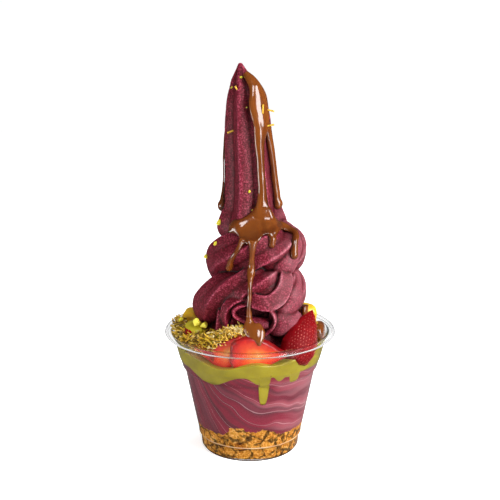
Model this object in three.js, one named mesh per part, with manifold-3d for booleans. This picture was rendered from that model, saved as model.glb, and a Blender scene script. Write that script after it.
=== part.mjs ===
// An acai cup: a clear dessert cup with cookie crumble, acai soft serve swirled high above the rim,
// pistachio cream, fruit, kataifi and chocolate sauce.
// Units are millimetres, +Z is up, and the origin is the centre of the cup's foot.
// The front is -Y, and angles are degrees counter-clockwise from +X, seen from above.
import * as THREE from 'three';
import { mergeVertices } from 'three/addons/utils/BufferGeometryUtils.js';
import Module from 'manifold-3d';

const wasm = await Module();
wasm.setup();

// ---- cup -------------------------------------------------------------------------------------
const ROUND_SEGMENTS = 28;
const WALL = 0.8;
const FLOOR_TOP = 1.6;
const LIP_CENTRE_HEIGHT = 65.7;
const LIP_CENTRE_RADIUS = 43.8;
const LIP_TUBE = 2.2;
const LIP_FLATNESS = 0.68;
const COLLAR_TOP = 63;
// Outside of the wall from the foot up: [height, radius]
const CUP_OUTSIDE = [
  [0, 25.6],
  [1.6, 26.6],
  [8, 27.1],
  [9.2, 28],
  [45.5, 35.3],
  [47, 36.6],
  [56, 39.3],
  [COLLAR_TOP, 41.2],
];

// ---- layers ----------------------------------------------------------------------------------
const GAP = 0.35;
const COOKIE_LEVEL = 15.4;
const CREAM_BOTTOM = 51.6;
const CREAM_TOP = 59.6;

// ---- swirl -----------------------------------------------------------------------------------
const ROPE_FLUTES = 5;
const ROPE_FLUTE_DEPTH = 0.27;
const ROPE_TILT = 0.3;
const SIDE_CALM = 0.75;
const SPIRE_FLUTES = 6;
const SPIRE_FLUTE_DEPTH = 0.24;
const SPIRE_FIRST_FLUTE = 244;
const STATIONS_PER_TURN = 16;
const STATIONS_PER_PIECE = 7;
// The coiled rope: [turns, height, coil radius, rope radius, how far its flutes have rolled up and over]
const ROPE = [
  [-0.5, 58, 11, 11, -430],
  [-0.25, 70, 12, 11, -345],
  [0, 70, 15, 12, -255],
  [0.25, 72, 17.5, 12.4, -165],
  [0.5, 79, 19, 12.6, -75],
  [0.75, 89.5, 19.6, 11.2, 80],
  [0.9, 87, 18.4, 13.4, 200],
  [1, 88.6, 17.4, 13.4, 262],
  [1.25, 96, 16.4, 12.2, 362],
  [1.5, 104.5, 14.6, 12.2, 456],
  [1.75, 109.5, 15.4, 12.4, 532],
  [1.9, 109, 15.4, 13.8, 626],
  [2, 110.6, 14.6, 13.8, 689],
  [2.25, 117.5, 11.5, 12.6, 800],
  [2.45, 121, 6, 12, 880],
];
// Folds at the front where the rope starts: rows of [x, y, height, width, depth]
const FOLDS = [
  // band that wraps round the curled lip
  [[5, -23, 91.5, 4, 8], [-1, -25, 91, 5, 9], [-7, -25.6, 89.6, 5.6, 10], [-11, -25.6, 86.4, 6, 10],
    [-12.6, -25, 81.6, 6, 9.6], [-12, -23.6, 76, 5, 9]],
  // lip curled round a hollow
  [[4, -25, 88.4, 1.6, 6], [-1, -27, 88.3, 1.8, 8], [-5.6, -27.6, 87.4, 2, 8.6],
    [-8.2, -27.6, 85, 2.2, 8.6], [-8, -27.4, 82.4, 2.2, 8.4], [-5.4, -27.2, 80.4, 2.4, 8],
    [-1, -26.4, 79, 4, 8], [3.2, -26, 78, 5.4, 8], [9, -25.4, 76.6, 6, 7.6]],
  // edge of the fold at the right, and the bulge behind it
  [[6.6, -24.6, 87, 1.6, 6], [10.4, -27, 85.2, 1.9, 8.4], [12.4, -27.6, 82, 2, 9],
    [12.6, -27.4, 78.7, 2.2, 9], [11, -27, 75.4, 2.4, 8.6], [7.6, -26.4, 72.2, 2.6, 8]],
  [[10.5, -19, 76, 12, 13], [15, -19.6, 76, 16, 15], [20, -17, 76, 14, 14], [23.4, -12.6, 75, 11, 11]],
  // facets at the left
  [[-14.6, -21, 83, 5, 7], [-14.8, -21.8, 79, 7, 9], [-15, -22.4, 73, 8, 9.6], [-15.2, -22.4, 66, 8, 9]],
  [[-8.2, -23, 79, 4, 7], [-8.6, -23.8, 75, 6, 9], [-9, -23.8, 68, 7, 9]],
];
// Heavy lobes where the rope turns down at the right, and the face that hangs before them: rows of
// [angle, height, reach, width, depth], and the sides of a section
const LOBES = [
  { sides: 6, rows: [[354, 124, 15, 7, 7], [346, 120.5, 18.8, 9.6, 9], [329, 115, 23.2, 11.4, 9.6],
    [316, 109, 24, 12.4, 9.6], [309, 103.6, 22.6, 11.4, 9], [305.5, 100.6, 21, 8, 7]] },
  { sides: 6, rows: [[342, 104, 18, 7, 7], [336, 99, 21.8, 10, 9], [331.5, 94, 24.4, 11.6, 9.6],
    [324, 89, 26.8, 12.4, 10], [316, 84.8, 26.6, 12, 10], [310, 82, 25.6, 10.5, 9.6],
    [306, 80.4, 24.2, 7, 8]] },
  { sides: 5, rows: [[266, 91.4, 26.4, 8, 7], [278, 89, 28.4, 10.6, 9], [290, 88.6, 29, 12.4, 9],
    [298.5, 91.2, 28.8, 13, 9], [305, 96, 27.8, 12, 9], [308.5, 101, 25.4, 9.5, 8],
    [310.5, 104.4, 22.4, 6, 6]] },
];
// The spire, where the rope is drawn straight up over a bell-shaped foot: [height, radius]
const SPIRE = [
  [115, 13],
  [118, 17.6],
  [122.5, 19],
  [127.5, 18],
  [133, 15.8],
  [142, 14.4],
  [156, 13.2],
  [173, 12.4],
  [190, 10.4],
  [197, 8],
  [200, 6.2],
  [203.5, 3.4],
  [208, 0.7],
];
// Sideways lean of the swirl's axis: [height, x]
const LEAN = [
  [75, 0],
  [90, 0.5],
  [107, 2.6],
  [115, 2.4],
  [122, 1.4],
  [142, 1.1],
  [156, 0.3],
  [173, -0.8],
  [190, -1.6],
  [197, -2.3],
  [203.5, -4.4],
  [208, -5],
];
// Neck that joins the swirl to the filling and closes the middle of the coil: [height, radius]
const NECK = [[48, 29], [59, 29], [64, 24], [92, 20], [104, 18], [118, 14]];

// ---- materials -------------------------------------------------------------------------------
const CLEAR = { color: 0xf4f6f6, transparent: true, opacity: 0.35, roughness: 0.05 };
const COOKIE = { color: 0xc07a35, roughness: 0.95 };
const ACAI = { color: 0x74303d, roughness: 0.6 };
const CREAM = { color: 0xa59534, roughness: 0.35 };
const RED = { color: 0xb9301f, roughness: 0.4 };
const CUT_RED = { color: 0xe25a35, roughness: 0.45 };
const MANGO = { color: 0xf0bd33, roughness: 0.35 };
const PASTRY = { color: 0xcf9f3a, roughness: 0.8 };
const CHOCOLATE = { color: 0x6b320a, roughness: 0.12 };

// ---- helpers ---------------------------------------------------------------------------------
const radians = (degrees) => degrees * Math.PI / 180;
const vector = (x, y, z) => new THREE.Vector3(x, y, z);
const polar = (angle, radius, height) =>
  vector(radius * Math.cos(radians(angle)), radius * Math.sin(radians(angle)), height);
const clamp01 = (t) => Math.min(Math.max(t, 0), 1);
const smoothStep = (t) => clamp01(t) ** 2 * (3 - 2 * clamp01(t));

/** Whole numbers from 0 up to, but not including, a count. */
const upTo = (count) => Array.from({ length: count }, (_, i) => i);

/** Straight-line value of a table of [position, value]. */
function lookUp(table, at) {
  if (at <= table[0][0]) return table[0][1];
  const next = table.findIndex(([position]) => at <= position);
  if (next < 0) return table[table.length - 1][1];
  const [x0, y0] = table[next - 1];
  const [x1, y1] = table[next];
  return y0 + (y1 - y0) * (at - x0) / (x1 - x0);
}

/** Smooth value of one column of a table whose first column is the position. */
function smoothLookUp(table, column, at) {
  const last = table.length - 1;
  let i = 0;
  while (i < last - 1 && at > table[i + 1][0]) i += 1;
  const slope = (k) => {
    const before = table[Math.max(k - 1, 0)];
    const after = table[Math.min(k + 1, last)];
    return (after[column] - before[column]) / (after[0] - before[0]);
  };
  const span = table[i + 1][0] - table[i][0];
  const t = (at - table[i][0]) / span;
  const rise = smoothStep(t);
  return table[i][column] * (1 - rise) + table[i + 1][column] * rise
    + t * (1 - t) ** 2 * span * slope(i) - t * t * (1 - t) * span * slope(i + 1);
}

/** A smooth bump over angle: 1 at its middle and 0 beyond its half width. */
function bump(angle, middle, halfWidth) {
  const away = Math.abs((((angle - middle) % 360) + 540) % 360 - 180);
  return smoothStep(1 - away / halfWidth);
}

/** Turns a closed indexed geometry into a solid. */
function solidFrom(geometry) {
  const merged = mergeVertices(geometry, 1e-4);
  return new wasm.Manifold(new wasm.Mesh({
    numProp: 3,
    vertProperties: new Float32Array(merged.attributes.position.array),
    triVerts: new Uint32Array(merged.index.array),
  }));
}

/** A closed solid through rings of equal length, with a fan to the middle of each end. */
function loft(rings) {
  const count = rings[0].length;
  const points = rings.flat();
  const middle = (ring) => ring.reduce((sum, p) => sum.add(p), vector(0, 0, 0)).divideScalar(count);
  const start = points.push(middle(rings[0])) - 1;
  const end = points.push(middle(rings[rings.length - 1])) - 1;
  const top = (rings.length - 1) * count;
  const index = [];
  for (const i of upTo(count)) {
    const j = (i + 1) % count;
    index.push(start, j, i, end, top + i, top + j);
    for (let low = 0; low < top; low += count) {
      const high = low + count;
      index.push(low + i, low + j, high + j, low + i, high + j, high + i);
    }
  }
  const geometry = new THREE.BufferGeometry().setFromPoints(points);
  geometry.setIndex(index);
  return solidFrom(geometry);
}

/** A round solid from a profile of [height, radius], listed from its underside to its top. */
function revolve(profile, centreX = () => 0, segments = ROUND_SEGMENTS) {
  return loft(profile.map(([height, radius]) => upTo(segments).map((i) =>
    polar(i * 360 / segments, radius, height).add(vector(centreX(height), 0, 0)))));
}

/** A sheet of the layered filling between two heights that depend on angle and radius. */
function layer(bottom, top) {
  const radii = [26, 38, 60];
  const ring = (height) => (radius) => upTo(ROUND_SEGMENTS).map((i) => {
    const angle = i * 360 / ROUND_SEGMENTS;
    return polar(angle, radius, height(angle, radius));
  });
  return loft([...radii.map(ring(bottom)), ...[...radii].reverse().map(ring(top))]);
}

/**
 * A soft rope through stations { at, out, width, height }: the section is an oval,
 * as wide as stated across and as high as stated along `out`.
 */
function sweep(stations, sides = 8) {
  const last = stations.length - 1;
  return loft(stations.map(({ at, out, width, height }, i) => {
    const along = stations[Math.min(i + 1, last)].at.clone().sub(stations[Math.max(i - 1, 0)].at).normalize();
    const across = along.clone().cross(out).normalize();
    const normal = across.clone().cross(along).normalize();
    return upTo(sides).map((k) => {
      const turn = 2 * Math.PI * k / sides;
      return at.clone()
        .addScaledVector(normal, height / 2 * Math.cos(turn))
        .addScaledVector(across, width / 2 * Math.sin(turn));
    });
  }));
}

/** Triangles of the largest connected body, which leaves out crumbs and pockets made by joining. */
function largestBody(triangles, pointCount) {
  const parent = Array.from({ length: pointCount }, (_, i) => i);
  const root = (i) => {
    let at = i;
    while (parent[at] !== at) {
      parent[at] = parent[parent[at]];
      at = parent[at];
    }
    return at;
  };
  for (let i = 0; i < triangles.length; i += 3) {
    parent[root(triangles[i])] = root(triangles[i + 1]);
    parent[root(triangles[i + 2])] = root(triangles[i + 1]);
  }
  const bodies = new Map();
  for (let i = 0; i < triangles.length; i += 3) {
    const body = root(triangles[i]);
    if (!bodies.has(body)) bodies.set(body, []);
    bodies.get(body).push(triangles[i], triangles[i + 1], triangles[i + 2]);
  }
  return [...bodies.values()].reduce((most, body) => (body.length > most.length ? body : most));
}

function part(name, solid, material) {
  const { vertProperties, triVerts } = solid.getMesh();
  const geometry = new THREE.BufferGeometry();
  geometry.setAttribute('position', new THREE.BufferAttribute(new Float32Array(vertProperties), 3));
  geometry.setIndex(largestBody(triVerts, vertProperties.length / 3));
  const mesh = new THREE.Mesh(mergeVertices(geometry, 1e-4), new THREE.MeshStandardMaterial(material));
  mesh.geometry.computeVertexNormals();
  mesh.name = name;
  return mesh;
}

// ---- cup -------------------------------------------------------------------------------------
const cupInside = (height) => lookUp(CUP_OUTSIDE, height) - WALL;

/** The clear shell: foot ring, stacking ring, flared collar and rolled lip. */
function buildCup() {
  const lipSteps = 7;
  const lip = upTo(lipSteps + 1).map((i) => {
    const angle = radians(-110 + 290 * i / lipSteps);
    return [
      LIP_CENTRE_HEIGHT + LIP_FLATNESS * LIP_TUBE * Math.sin(angle),
      LIP_CENTRE_RADIUS + LIP_TUBE * Math.cos(angle),
    ];
  });
  const inside = CUP_OUTSIDE.filter(([height]) => height > FLOOR_TOP && height < COLLAR_TOP).reverse()
    .map(([height, radius]) => [height, radius - WALL]);
  return revolve([
    [0.6, 22.4],
    [0, 23],
    ...CUP_OUTSIDE,
    ...lip,
    ...inside,
    [FLOOR_TOP, cupInside(FLOOR_TOP)],
  ]);
}

/** The room inside the cup that food may fill, carried on straight up past the lip. */
function buildCavity() {
  const wallRows = CUP_OUTSIDE.filter(([height]) => height > FLOOR_TOP)
    .map(([height, radius]) => [height, radius - WALL - GAP]);
  const mouth = LIP_CENTRE_RADIUS - LIP_TUBE - GAP;
  return revolve([
    [FLOOR_TOP + GAP, cupInside(FLOOR_TOP) - GAP],
    ...wallRows,
    [LIP_CENTRE_HEIGHT, mouth],
    [120, mouth],
  ]);
}

const cavity = buildCavity();

// ---- layers ----------------------------------------------------------------------------------
// Broken cookies standing higher than the rest: [angle, half width, rise]
const COOKIE_CHUNKS = [[258, 20, 5.4], [284, 22, 4.4], [18, 24, 3], [85, 22, 5], [140, 26, 3.5]];

function cookieTop(angle, radius) {
  const rise = COOKIE_CHUNKS.reduce((sum, [at, halfWidth, up]) => sum + up * bump(angle, at, halfWidth), 0);
  return COOKIE_LEVEL + rise * clamp01(radius / 26);
}

function buildCookies(grow) {
  return layer(() => FLOOR_TOP + GAP - grow, (angle, radius) => cookieTop(angle, radius) + grow);
}

/** Underside of the cream: it sags lower against the wall at the front left and right. */
function creamUnderside(angle, radius) {
  const sag = 7 * bump(angle, 236, 28) + 2.4 * bump(angle, 303, 16) + 4 * bump(angle, 80, 30);
  return CREAM_BOTTOM - sag * clamp01((radius - 26) / 12);
}

/** Top of the cream: a little lower where fruit presses on it. */
function creamSurface(angle, radius) {
  const dip = 3.6 * bump(angle, 247, 26) + 1.2 * bump(angle, 290, 14) + 3 * bump(angle, 50, 40);
  const climb = 4 * bump(angle, 335, 40) + 2 * bump(angle, 190, 40);
  return CREAM_TOP + (climb - dip) * clamp01((radius - 20) / 15);
}

// Tongues of cream running down inside the wall: rows of [angle, height, width]
const CREAM_TONGUES = [
  [[277, 55, 14], [277.4, 50.5, 12], [279, 45, 7], [280.4, 39, 5], [281, 35.6, 4.2], [281, 34, 1]],
  [[293, 54, 8], [293, 50, 6.2], [293, 48, 1.5]],
  [[310, 54, 8], [310, 48.6, 6], [310, 46, 1.5]],
];

function buildCreamTongue(rows, grow) {
  return sweep(rows.map(([angle, height, width]) => ({
    at: polar(angle, cupInside(height), height),
    out: polar(angle, 1, 0),
    width: width + 2 * grow,
    height: Math.min(width, 6) + 2 * grow,
  })), 6);
}

function buildCream(grow) {
  const bed = layer(
    (angle, radius) => creamUnderside(angle, radius) - grow,
    (angle, radius) => creamSurface(angle, radius) + grow,
  );
  return CREAM_TONGUES.reduce((sum, rows) => sum.add(buildCreamTongue(rows, grow)), bed);
}

// ---- swirl -----------------------------------------------------------------------------------
const lean = (height) => lookUp(LEAN, height);

function ropeCentre(turns) {
  const reach = smoothLookUp(ROPE, 2, turns);
  const height = smoothLookUp(ROPE, 1, turns) - ROPE_TILT * reach * Math.sin(2 * Math.PI * turns);
  return polar(360 * turns, reach, height).add(vector(lean(height), 0, 0));
}

/** A star-shaped ring lying flat about the origin, with one point on each ridge and in each valley. */
function flutedRing(radius, first, flutes, depth) {
  return upTo(2 * flutes).map((i) =>
    polar(first + i * 180 / flutes, radius * (i % 2 === 0 ? 1 : 1 - depth), 0));
}

/** One section of the rope, which bends with the coil, and whose flutes are shallow at the sides. */
function ropeSection(turns, grow) {
  const step = 0.01;
  const along = ropeCentre(turns + step).sub(ropeCentre(turns - step)).normalize();
  const bend = new THREE.Quaternion().setFromUnitVectors(vector(0, 0, 1), along);
  const first = 360 * turns - smoothLookUp(ROPE, 4, turns);
  const depth = ROPE_FLUTE_DEPTH * (1 - SIDE_CALM * Math.cos(2 * Math.PI * turns) ** 4);
  const centre = ropeCentre(turns);
  return flutedRing(smoothLookUp(ROPE, 3, turns) + grow, first, ROPE_FLUTES, depth)
    .map((point) => point.applyQuaternion(bend).add(centre));
}

function buildSpire(grow) {
  return loft(SPIRE.map(([height, radius]) =>
    flutedRing(radius + grow, SPIRE_FIRST_FLUTE, SPIRE_FLUTES, SPIRE_FLUTE_DEPTH)
      .map((point) => point.add(vector(lean(height), 0, height)))));
}

function buildFold(rows, grow) {
  return sweep(rows.map(([x, y, height, width, depth]) => ({
    at: vector(x, y, height),
    out: vector(0, -1, 0),
    width: width + 2 * grow,
    height: depth + 2 * grow,
  })), 6);
}

function buildLobe({ rows, sides }, grow) {
  return sweep(rows.map(([angle, height, reach, width, depth]) => ({
    at: polar(angle, reach, height).add(vector(lean(height), 0, 0)),
    out: polar(angle, 1, 0),
    width: width + 2 * grow,
    height: depth + 2 * grow,
  })), sides);
}

/** The coil, joined from short pieces so that none runs through itself, with neck, spire, folds and lobes. */
function buildSwirl(grow) {
  const [first] = ROPE[0];
  const [last] = ROPE[ROPE.length - 1];
  const sections = upTo(Math.floor((last - first) * STATIONS_PER_TURN) + 1)
    .map((i) => ropeSection(first + i / STATIONS_PER_TURN, grow));
  const neck = revolve(NECK.map(([height, radius]) => [height, radius + grow]), lean, 12);
  let swirl = neck.add(buildSpire(grow));
  for (let from = 0; from < sections.length - 1; from += STATIONS_PER_PIECE) {
    swirl = swirl.add(loft(sections.slice(from, from + STATIONS_PER_PIECE + 1)));
  }
  swirl = FOLDS.reduce((sum, rows) => sum.add(buildFold(rows, grow)), swirl);
  return LOBES.reduce((sum, lobe) => sum.add(buildLobe(lobe, grow)), swirl);
}

function buildAcai() {
  const filling = layer(() => FLOOR_TOP + GAP, () => CREAM_BOTTOM)
    .subtract(buildCookies(GAP))
    .subtract(buildCream(GAP))
    .intersect(cavity);
  return filling.add(buildSwirl(0));
}

// ---- toppings --------------------------------------------------------------------------------
/** Turns and moves a solid's ring points from its own frame into place in the cup. */
function placed({ angle, radius, height, turn = [0, 0, 0] }) {
  const spin = new THREE.Quaternion().setFromEuler(new THREE.Euler(...turn.map(radians), 'ZYX'));
  const face = new THREE.Quaternion().setFromAxisAngle(vector(0, 0, 1), radians(angle));
  const at = polar(angle, radius, height);
  return (point) => point.applyQuaternion(spin).applyQuaternion(face).add(at);
}

// Outline of a cut strawberry: [share of the length from shoulder to tip, share of half the width]
const BERRY_OUTLINE = [
  [0, 0.5], [0.07, 0.8], [0.2, 0.98], [0.36, 1], [0.55, 0.86], [0.75, 0.56], [0.9, 0.27], [1, 0.06],
];

/** A cut slice: flat on both faces, broad at the shoulder and pointed at the tip (+Z). */
function strawberrySlice({ length, width, thickness, ...place }, grow) {
  const toCup = placed(place);
  const side = BERRY_OUTLINE.map(([along, share]) => [share * width / 2, (along - 0.5) * length]);
  const outline = [...side, ...side.map(([y, z]) => [-y, z]).reverse()];
  const edge = [[-0.5, 0.9], [-0.3, 1], [0.3, 1], [0.5, 0.9]];
  return loft(edge.map(([across, scale]) => outline.map(([y, z]) => toCup(vector(
    across * (thickness + 2 * grow),
    y * scale + grow * Math.sign(y),
    z * scale + grow * Math.sign(z),
  )))));
}

/** Half a strawberry: round skin on its +X side, a nearly flat cut behind, and the tip up (+Z). */
function strawberryHalf({ length, width, ...place }, grow) {
  const toCup = placed(place);
  const rows = [[0.02, 0.5], [0.12, 0.86], [0.32, 1], [0.6, 0.8], [0.84, 0.44], [0.98, 0.12]];
  return loft(rows.map(([along, share]) => upTo(12).map((i) => {
    const turn = 2 * Math.PI * i / 12;
    const radius = width / 2 * share + grow;
    return toCup(vector(
      radius * Math.max(Math.cos(turn), -0.25),
      radius * Math.sin(turn),
      (along - 0.5) * (length + 2 * grow),
    ));
  })));
}

/** A soft-cornered chunk, such as a mango cube or a spoonful of cream. */
function chunk({ size, softness, ...place }, grow) {
  const toCup = placed(place);
  const rows = [-72, -26, 26, 72];
  const soft = (value) => Math.sign(value) * Math.abs(value) ** softness;
  const half = size.map((value) => value / 2 + grow);
  return loft(rows.map((tilt) => upTo(10).map((i) => {
    const turn = 2 * Math.PI * (i + 0.5) / 10;
    const share = soft(Math.cos(radians(tilt)));
    return toCup(vector(
      half[0] * share * soft(Math.cos(turn)),
      half[1] * share * soft(Math.sin(turn)),
      half[2] * soft(Math.sin(radians(tilt))),
    ));
  })));
}

const TOPPINGS = [
  ['strawberry_slice_centre', strawberrySlice, CUT_RED,
    { length: 29, width: 19.5, thickness: 4.6, angle: 277, radius: 35, height: 64, turn: [-95, 14, 0] }],
  ['strawberry_slice_left', strawberrySlice, CUT_RED,
    { length: 25, width: 14, thickness: 4.6, angle: 251.6, radius: 34.6, height: 65, turn: [-38, 14, 0] }],
  ['strawberry_slice_far_left', strawberrySlice, CUT_RED,
    { length: 26, width: 13, thickness: 4.4, angle: 219, radius: 34.6, height: 61.8, turn: [82, 38, 0] }],
  ['strawberry_half_right', strawberryHalf, RED,
    { length: 31, width: 22, angle: 323, radius: 32.6, height: 68, turn: [-34, 8, 0] }],
  ['mango_right', chunk, MANGO,
    { size: [11, 14, 22], softness: 0.5, angle: 10, radius: 30.6, height: 67.3, turn: [0, 6, 0] }],
  ['mango_left', chunk, MANGO,
    { size: [12, 15, 17], softness: 0.55, angle: 166, radius: 32, height: 66, turn: [0, -4, 0] }],
  ['strawberry_wedge_left', chunk, RED,
    { size: [11, 13, 9], softness: 0.8, angle: 206, radius: 33.6, height: 68, turn: [0, 10, 0] }],
  ['cream_dollop', chunk, CREAM,
    { size: [10, 13.5, 8.6], softness: 0.85, angle: 206.5, radius: 32.4, height: 70, turn: [0, 12, 0] }],
  ['chocolate_pool', chunk, CHOCOLATE,
    { size: [7.4, 15, 10], softness: 0.85, angle: 352, radius: 37.2, height: 66.4, turn: [0, 0, 0] }],
  ['strawberry_slice_back', strawberrySlice, CUT_RED,
    { length: 26, width: 18, thickness: 4.6, angle: 104, radius: 33.6, height: 64, turn: [38, 16, 0] }],
  ['mango_back', chunk, MANGO,
    { size: [12, 14, 13], softness: 0.5, angle: 134, radius: 31.5, height: 65.5, turn: [0, 12, 20] }],
];

// ---- kataifi ---------------------------------------------------------------------------------
// The heap of shredded pastry, along its length: [angle, radius, height, width, thickness]
const KATAIFI = [
  [176, 37.4, 69.4, 3, 4.4],
  [186, 37, 67, 6, 7],
  [198, 36.2, 65.5, 8, 9],
  [212, 35, 65.8, 11, 9],
  [226, 33.8, 66, 12, 9.5],
  [240, 32.4, 68.4, 10.5, 9.5],
  [252, 31.8, 71.4, 8.5, 8],
  [261, 31.8, 73.4, 6.5, 6.6],
  [266, 32, 74, 2.5, 3],
];

function buildKataifi(grow) {
  return sweep(KATAIFI.map(([angle, radius, height, width, thickness], i) => ({
    at: polar(angle, radius, height),
    out: vector(0, 0, 1),
    width: width + 2 * grow,
    height: thickness * (1 + 0.12 * (-1) ** i) + 2 * grow,
  })), 7);
}

// ---- chocolate sauce -------------------------------------------------------------------------
const SAUCE_DEPTH = 3.2;
const SAUCE_LIFT = 0.4;
// Streams down the swirl: rows of [angle, height, width], and a radius where it leaves the swirl
const STREAMS = [
  // coat from the tip down the front
  [[299, 200.6, 3], [301.5, 196.5, 6.4], [302, 192.6, 9], [300, 187.7, 10.6], [303, 177.7, 9],
    [295.5, 167.7, 5.6], [293.5, 153, 4.4], [293.3, 144.2, 4.8], [291, 135, 8], [284, 128, 10]],
  // run down the right of the spire
  [[316, 198, 3], [324, 192, 7], [332, 183, 9], [341, 174, 6.4], [346, 162, 4.6], [347, 150, 4.8],
    [347, 141, 5.4], [347, 135.4, 5.8], [347, 132.4, 2]],
  // run round the back of the tip and down the left
  [[330, 198, 4], [20, 193, 4.4], [80, 188, 4.4], [130, 182, 4.2], [162, 174, 3.8], [173, 160, 3.6],
    [175, 145, 3.8], [177, 137, 5.6], [178, 133.6, 5.8], [178, 131, 2]],
  // skirt, left and right
  [[292, 127.6, 10], [276, 126.2, 11], [262, 125, 11], [250, 124.8, 9], [240, 124, 7], [233.4, 122.6, 4.4],
    [230, 121.6, 1.6]],
  [[280, 126.6, 10], [296, 126.4, 10.4], [310, 125.6, 8], [319, 124.6, 5.6], [324, 121.8, 4],
    [320, 118.4, 4], [315, 115, 4.3], [314.4, 112, 4.5], [315, 109.4, 1.8]],
  // drip at the left
  [[260, 123.6, 5.4], [257, 120.2, 3.6], [254.5, 118, 3], [249.6, 114.4, 2.6], [243, 110.2, 3.2],
    [238.6, 106.6, 3.6], [235.6, 104.2, 1.4]],
  // long drip down the front, which spreads over the slices
  [[275, 127, 9], [271, 124.6, 8], [269.2, 121.6, 5.4], [268.4, 118.6, 3.8], [266.7, 112.6, 3],
    [266.3, 103.5, 4.2], [267.2, 97, 2.8, 31], [268.2, 91.6, 2.8, 32], [268.3, 87, 2.8, 32.8],
    [268.5, 83.5, 3, 32.4], [268.9, 80.6, 3.8, 32.2], [269.2, 78.8, 5.4, 32.8], [270.6, 77, 7.8, 33.8],
    [273.5, 75.2, 9.8, 35.4], [276, 72.9, 7.4, 37.8], [276.9, 70.9, 4, 39], [277.2, 69.8, 1.2, 39.4]],
  // short drip at the middle
  [[294, 126.6, 6], [295.4, 123.6, 4.8], [293, 121.2, 4], [291.8, 118.8, 3.6], [291.4, 117.2, 1.5]],
];

/** Distance from a point to the rope's surface along its sections: negative inside. */
function ropeDepth(point, sections) {
  return sections.reduce((least, { centre, along, radius, reach }) => {
    const away = point.clone().sub(centre);
    const ahead = away.dot(along);
    if (Math.abs(ahead) > reach) return least;
    return Math.min(least, away.addScaledVector(along, -ahead).length() - radius);
  }, Infinity);
}

const ropeAxis = upTo(200).map((i) => {
  const turns = ROPE[0][0] + i / 68;
  const centre = ropeCentre(turns);
  const along = ropeCentre(turns + 0.01).sub(centre).normalize();
  return { centre, along, radius: smoothLookUp(ROPE, 3, turns) * 0.94, reach: 3 };
});

/** How far out the swirl reaches from its leaning axis at an angle and height. */
function swirlReach(angle, height) {
  const spire = height > SPIRE[0][0] ? lookUp(SPIRE, height) * 0.94 : 0;
  for (let radius = 40; radius > spire; radius -= 0.25) {
    const point = polar(angle, radius, height).add(vector(lean(height), 0, 0));
    if (ropeDepth(point, ropeAxis) < 0) return radius;
  }
  return spire;
}

/** One stream of sauce lying half sunk on the swirl. */
function buildStream(rows) {
  return sweep(rows.map(([angle, height, width, radius]) => ({
    at: radius
      ? polar(angle, radius, height)
      : polar(angle, swirlReach(angle, height) + SAUCE_LIFT, height).add(vector(lean(height), 0, 0)),
    out: polar(angle, 1, 0.25),
    width,
    height: Math.min(width, SAUCE_DEPTH) + 1,
  })), 5);
}

function buildChocolate() {
  return STREAMS.map(buildStream).reduce((sum, stream) => sum.add(stream));
}

// ---- assembly --------------------------------------------------------------------------------
const swirlSpace = buildSwirl(GAP);
let taken = swirlSpace.add(buildCream(GAP));

/** Makes a food that gives way to everything placed before it. */
function place(name, build, material) {
  const mesh = part(name, build(0).intersect(cavity).subtract(taken), material);
  taken = taken.add(build(GAP));
  return mesh;
}

const group = new THREE.Group();
group.add(
  part('cup', buildCup(), CLEAR),
  part('cookie_crumble', buildCookies(0).intersect(cavity), COOKIE),
  part('acai_soft_serve', buildAcai(), ACAI),
  part('pistachio_cream', buildCream(0).intersect(cavity).subtract(swirlSpace), CREAM),
  ...TOPPINGS.map(([name, shape, material, sizes]) => place(name, (grow) => shape(sizes, grow), material)),
  place('kataifi', buildKataifi, PASTRY),
  part('chocolate_sauce', buildChocolate().subtract(taken), CHOCOLATE),
);
export default group;
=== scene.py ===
"""An acai cup: a clear dessert cup with cookie crumble, acai soft serve swirled high above the lip,
pistachio cream, fruit, kataifi and chocolate sauce.

Tables and helpers work in millimetres in the CAD frame, and meshes are made in metres. Angles are
degrees counter-clockwise from +X seen from above, and the front of the cup is -Y.
"""
import math
import random

import bmesh
import bpy
import numpy as np
from mathutils import Euler, Matrix, Vector, noise
from mathutils.bvhtree import BVHTree


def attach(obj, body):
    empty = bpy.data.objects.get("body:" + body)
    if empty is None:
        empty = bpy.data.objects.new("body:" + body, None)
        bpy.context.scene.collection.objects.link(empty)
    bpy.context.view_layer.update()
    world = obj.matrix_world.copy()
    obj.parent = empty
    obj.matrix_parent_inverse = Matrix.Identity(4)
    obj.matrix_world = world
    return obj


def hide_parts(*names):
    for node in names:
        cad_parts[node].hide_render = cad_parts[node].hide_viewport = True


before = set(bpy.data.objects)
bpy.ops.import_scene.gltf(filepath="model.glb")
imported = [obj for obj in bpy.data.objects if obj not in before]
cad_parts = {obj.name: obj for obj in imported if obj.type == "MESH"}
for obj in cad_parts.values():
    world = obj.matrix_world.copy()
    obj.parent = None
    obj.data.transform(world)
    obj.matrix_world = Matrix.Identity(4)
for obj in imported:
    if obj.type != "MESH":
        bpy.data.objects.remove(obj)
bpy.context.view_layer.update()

MM = 0.001

# ---- cup ----
WALL = 0.8
FLOOR_TOP = 1.6
LIP_CENTRE_HEIGHT = 65.7
LIP_CENTRE_RADIUS = 43.75
LIP_TUBE = 2.2           # half the lip's width
LIP_FLATNESS = 0.68      # its height as a share of its width
BEAD = 0.6               # thickness of the ridge round the top of the foot
BEAD_HEIGHT = 8.6
CUP_SEGMENTS = 144       # faces round the cup
# Outside of the wall from the foot up: (height, radius)
CUP_OUTSIDE = [
    (0, 25.2), (0.3, 25.7), (1.6, 26.6), (7.2, 27.1), (7.7, 27.25), (8.3, 27.8), (9.2, 28.15),
    (10.2, 28.25), (45.2, 35.3), (45.8, 35.6), (46.5, 36.3), (47.2, 36.7), (51.3, 37.9), (51.6, 38.2),
    (52.1, 38.35), (56, 39.4), (62.4, 41.1),
]
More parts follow.
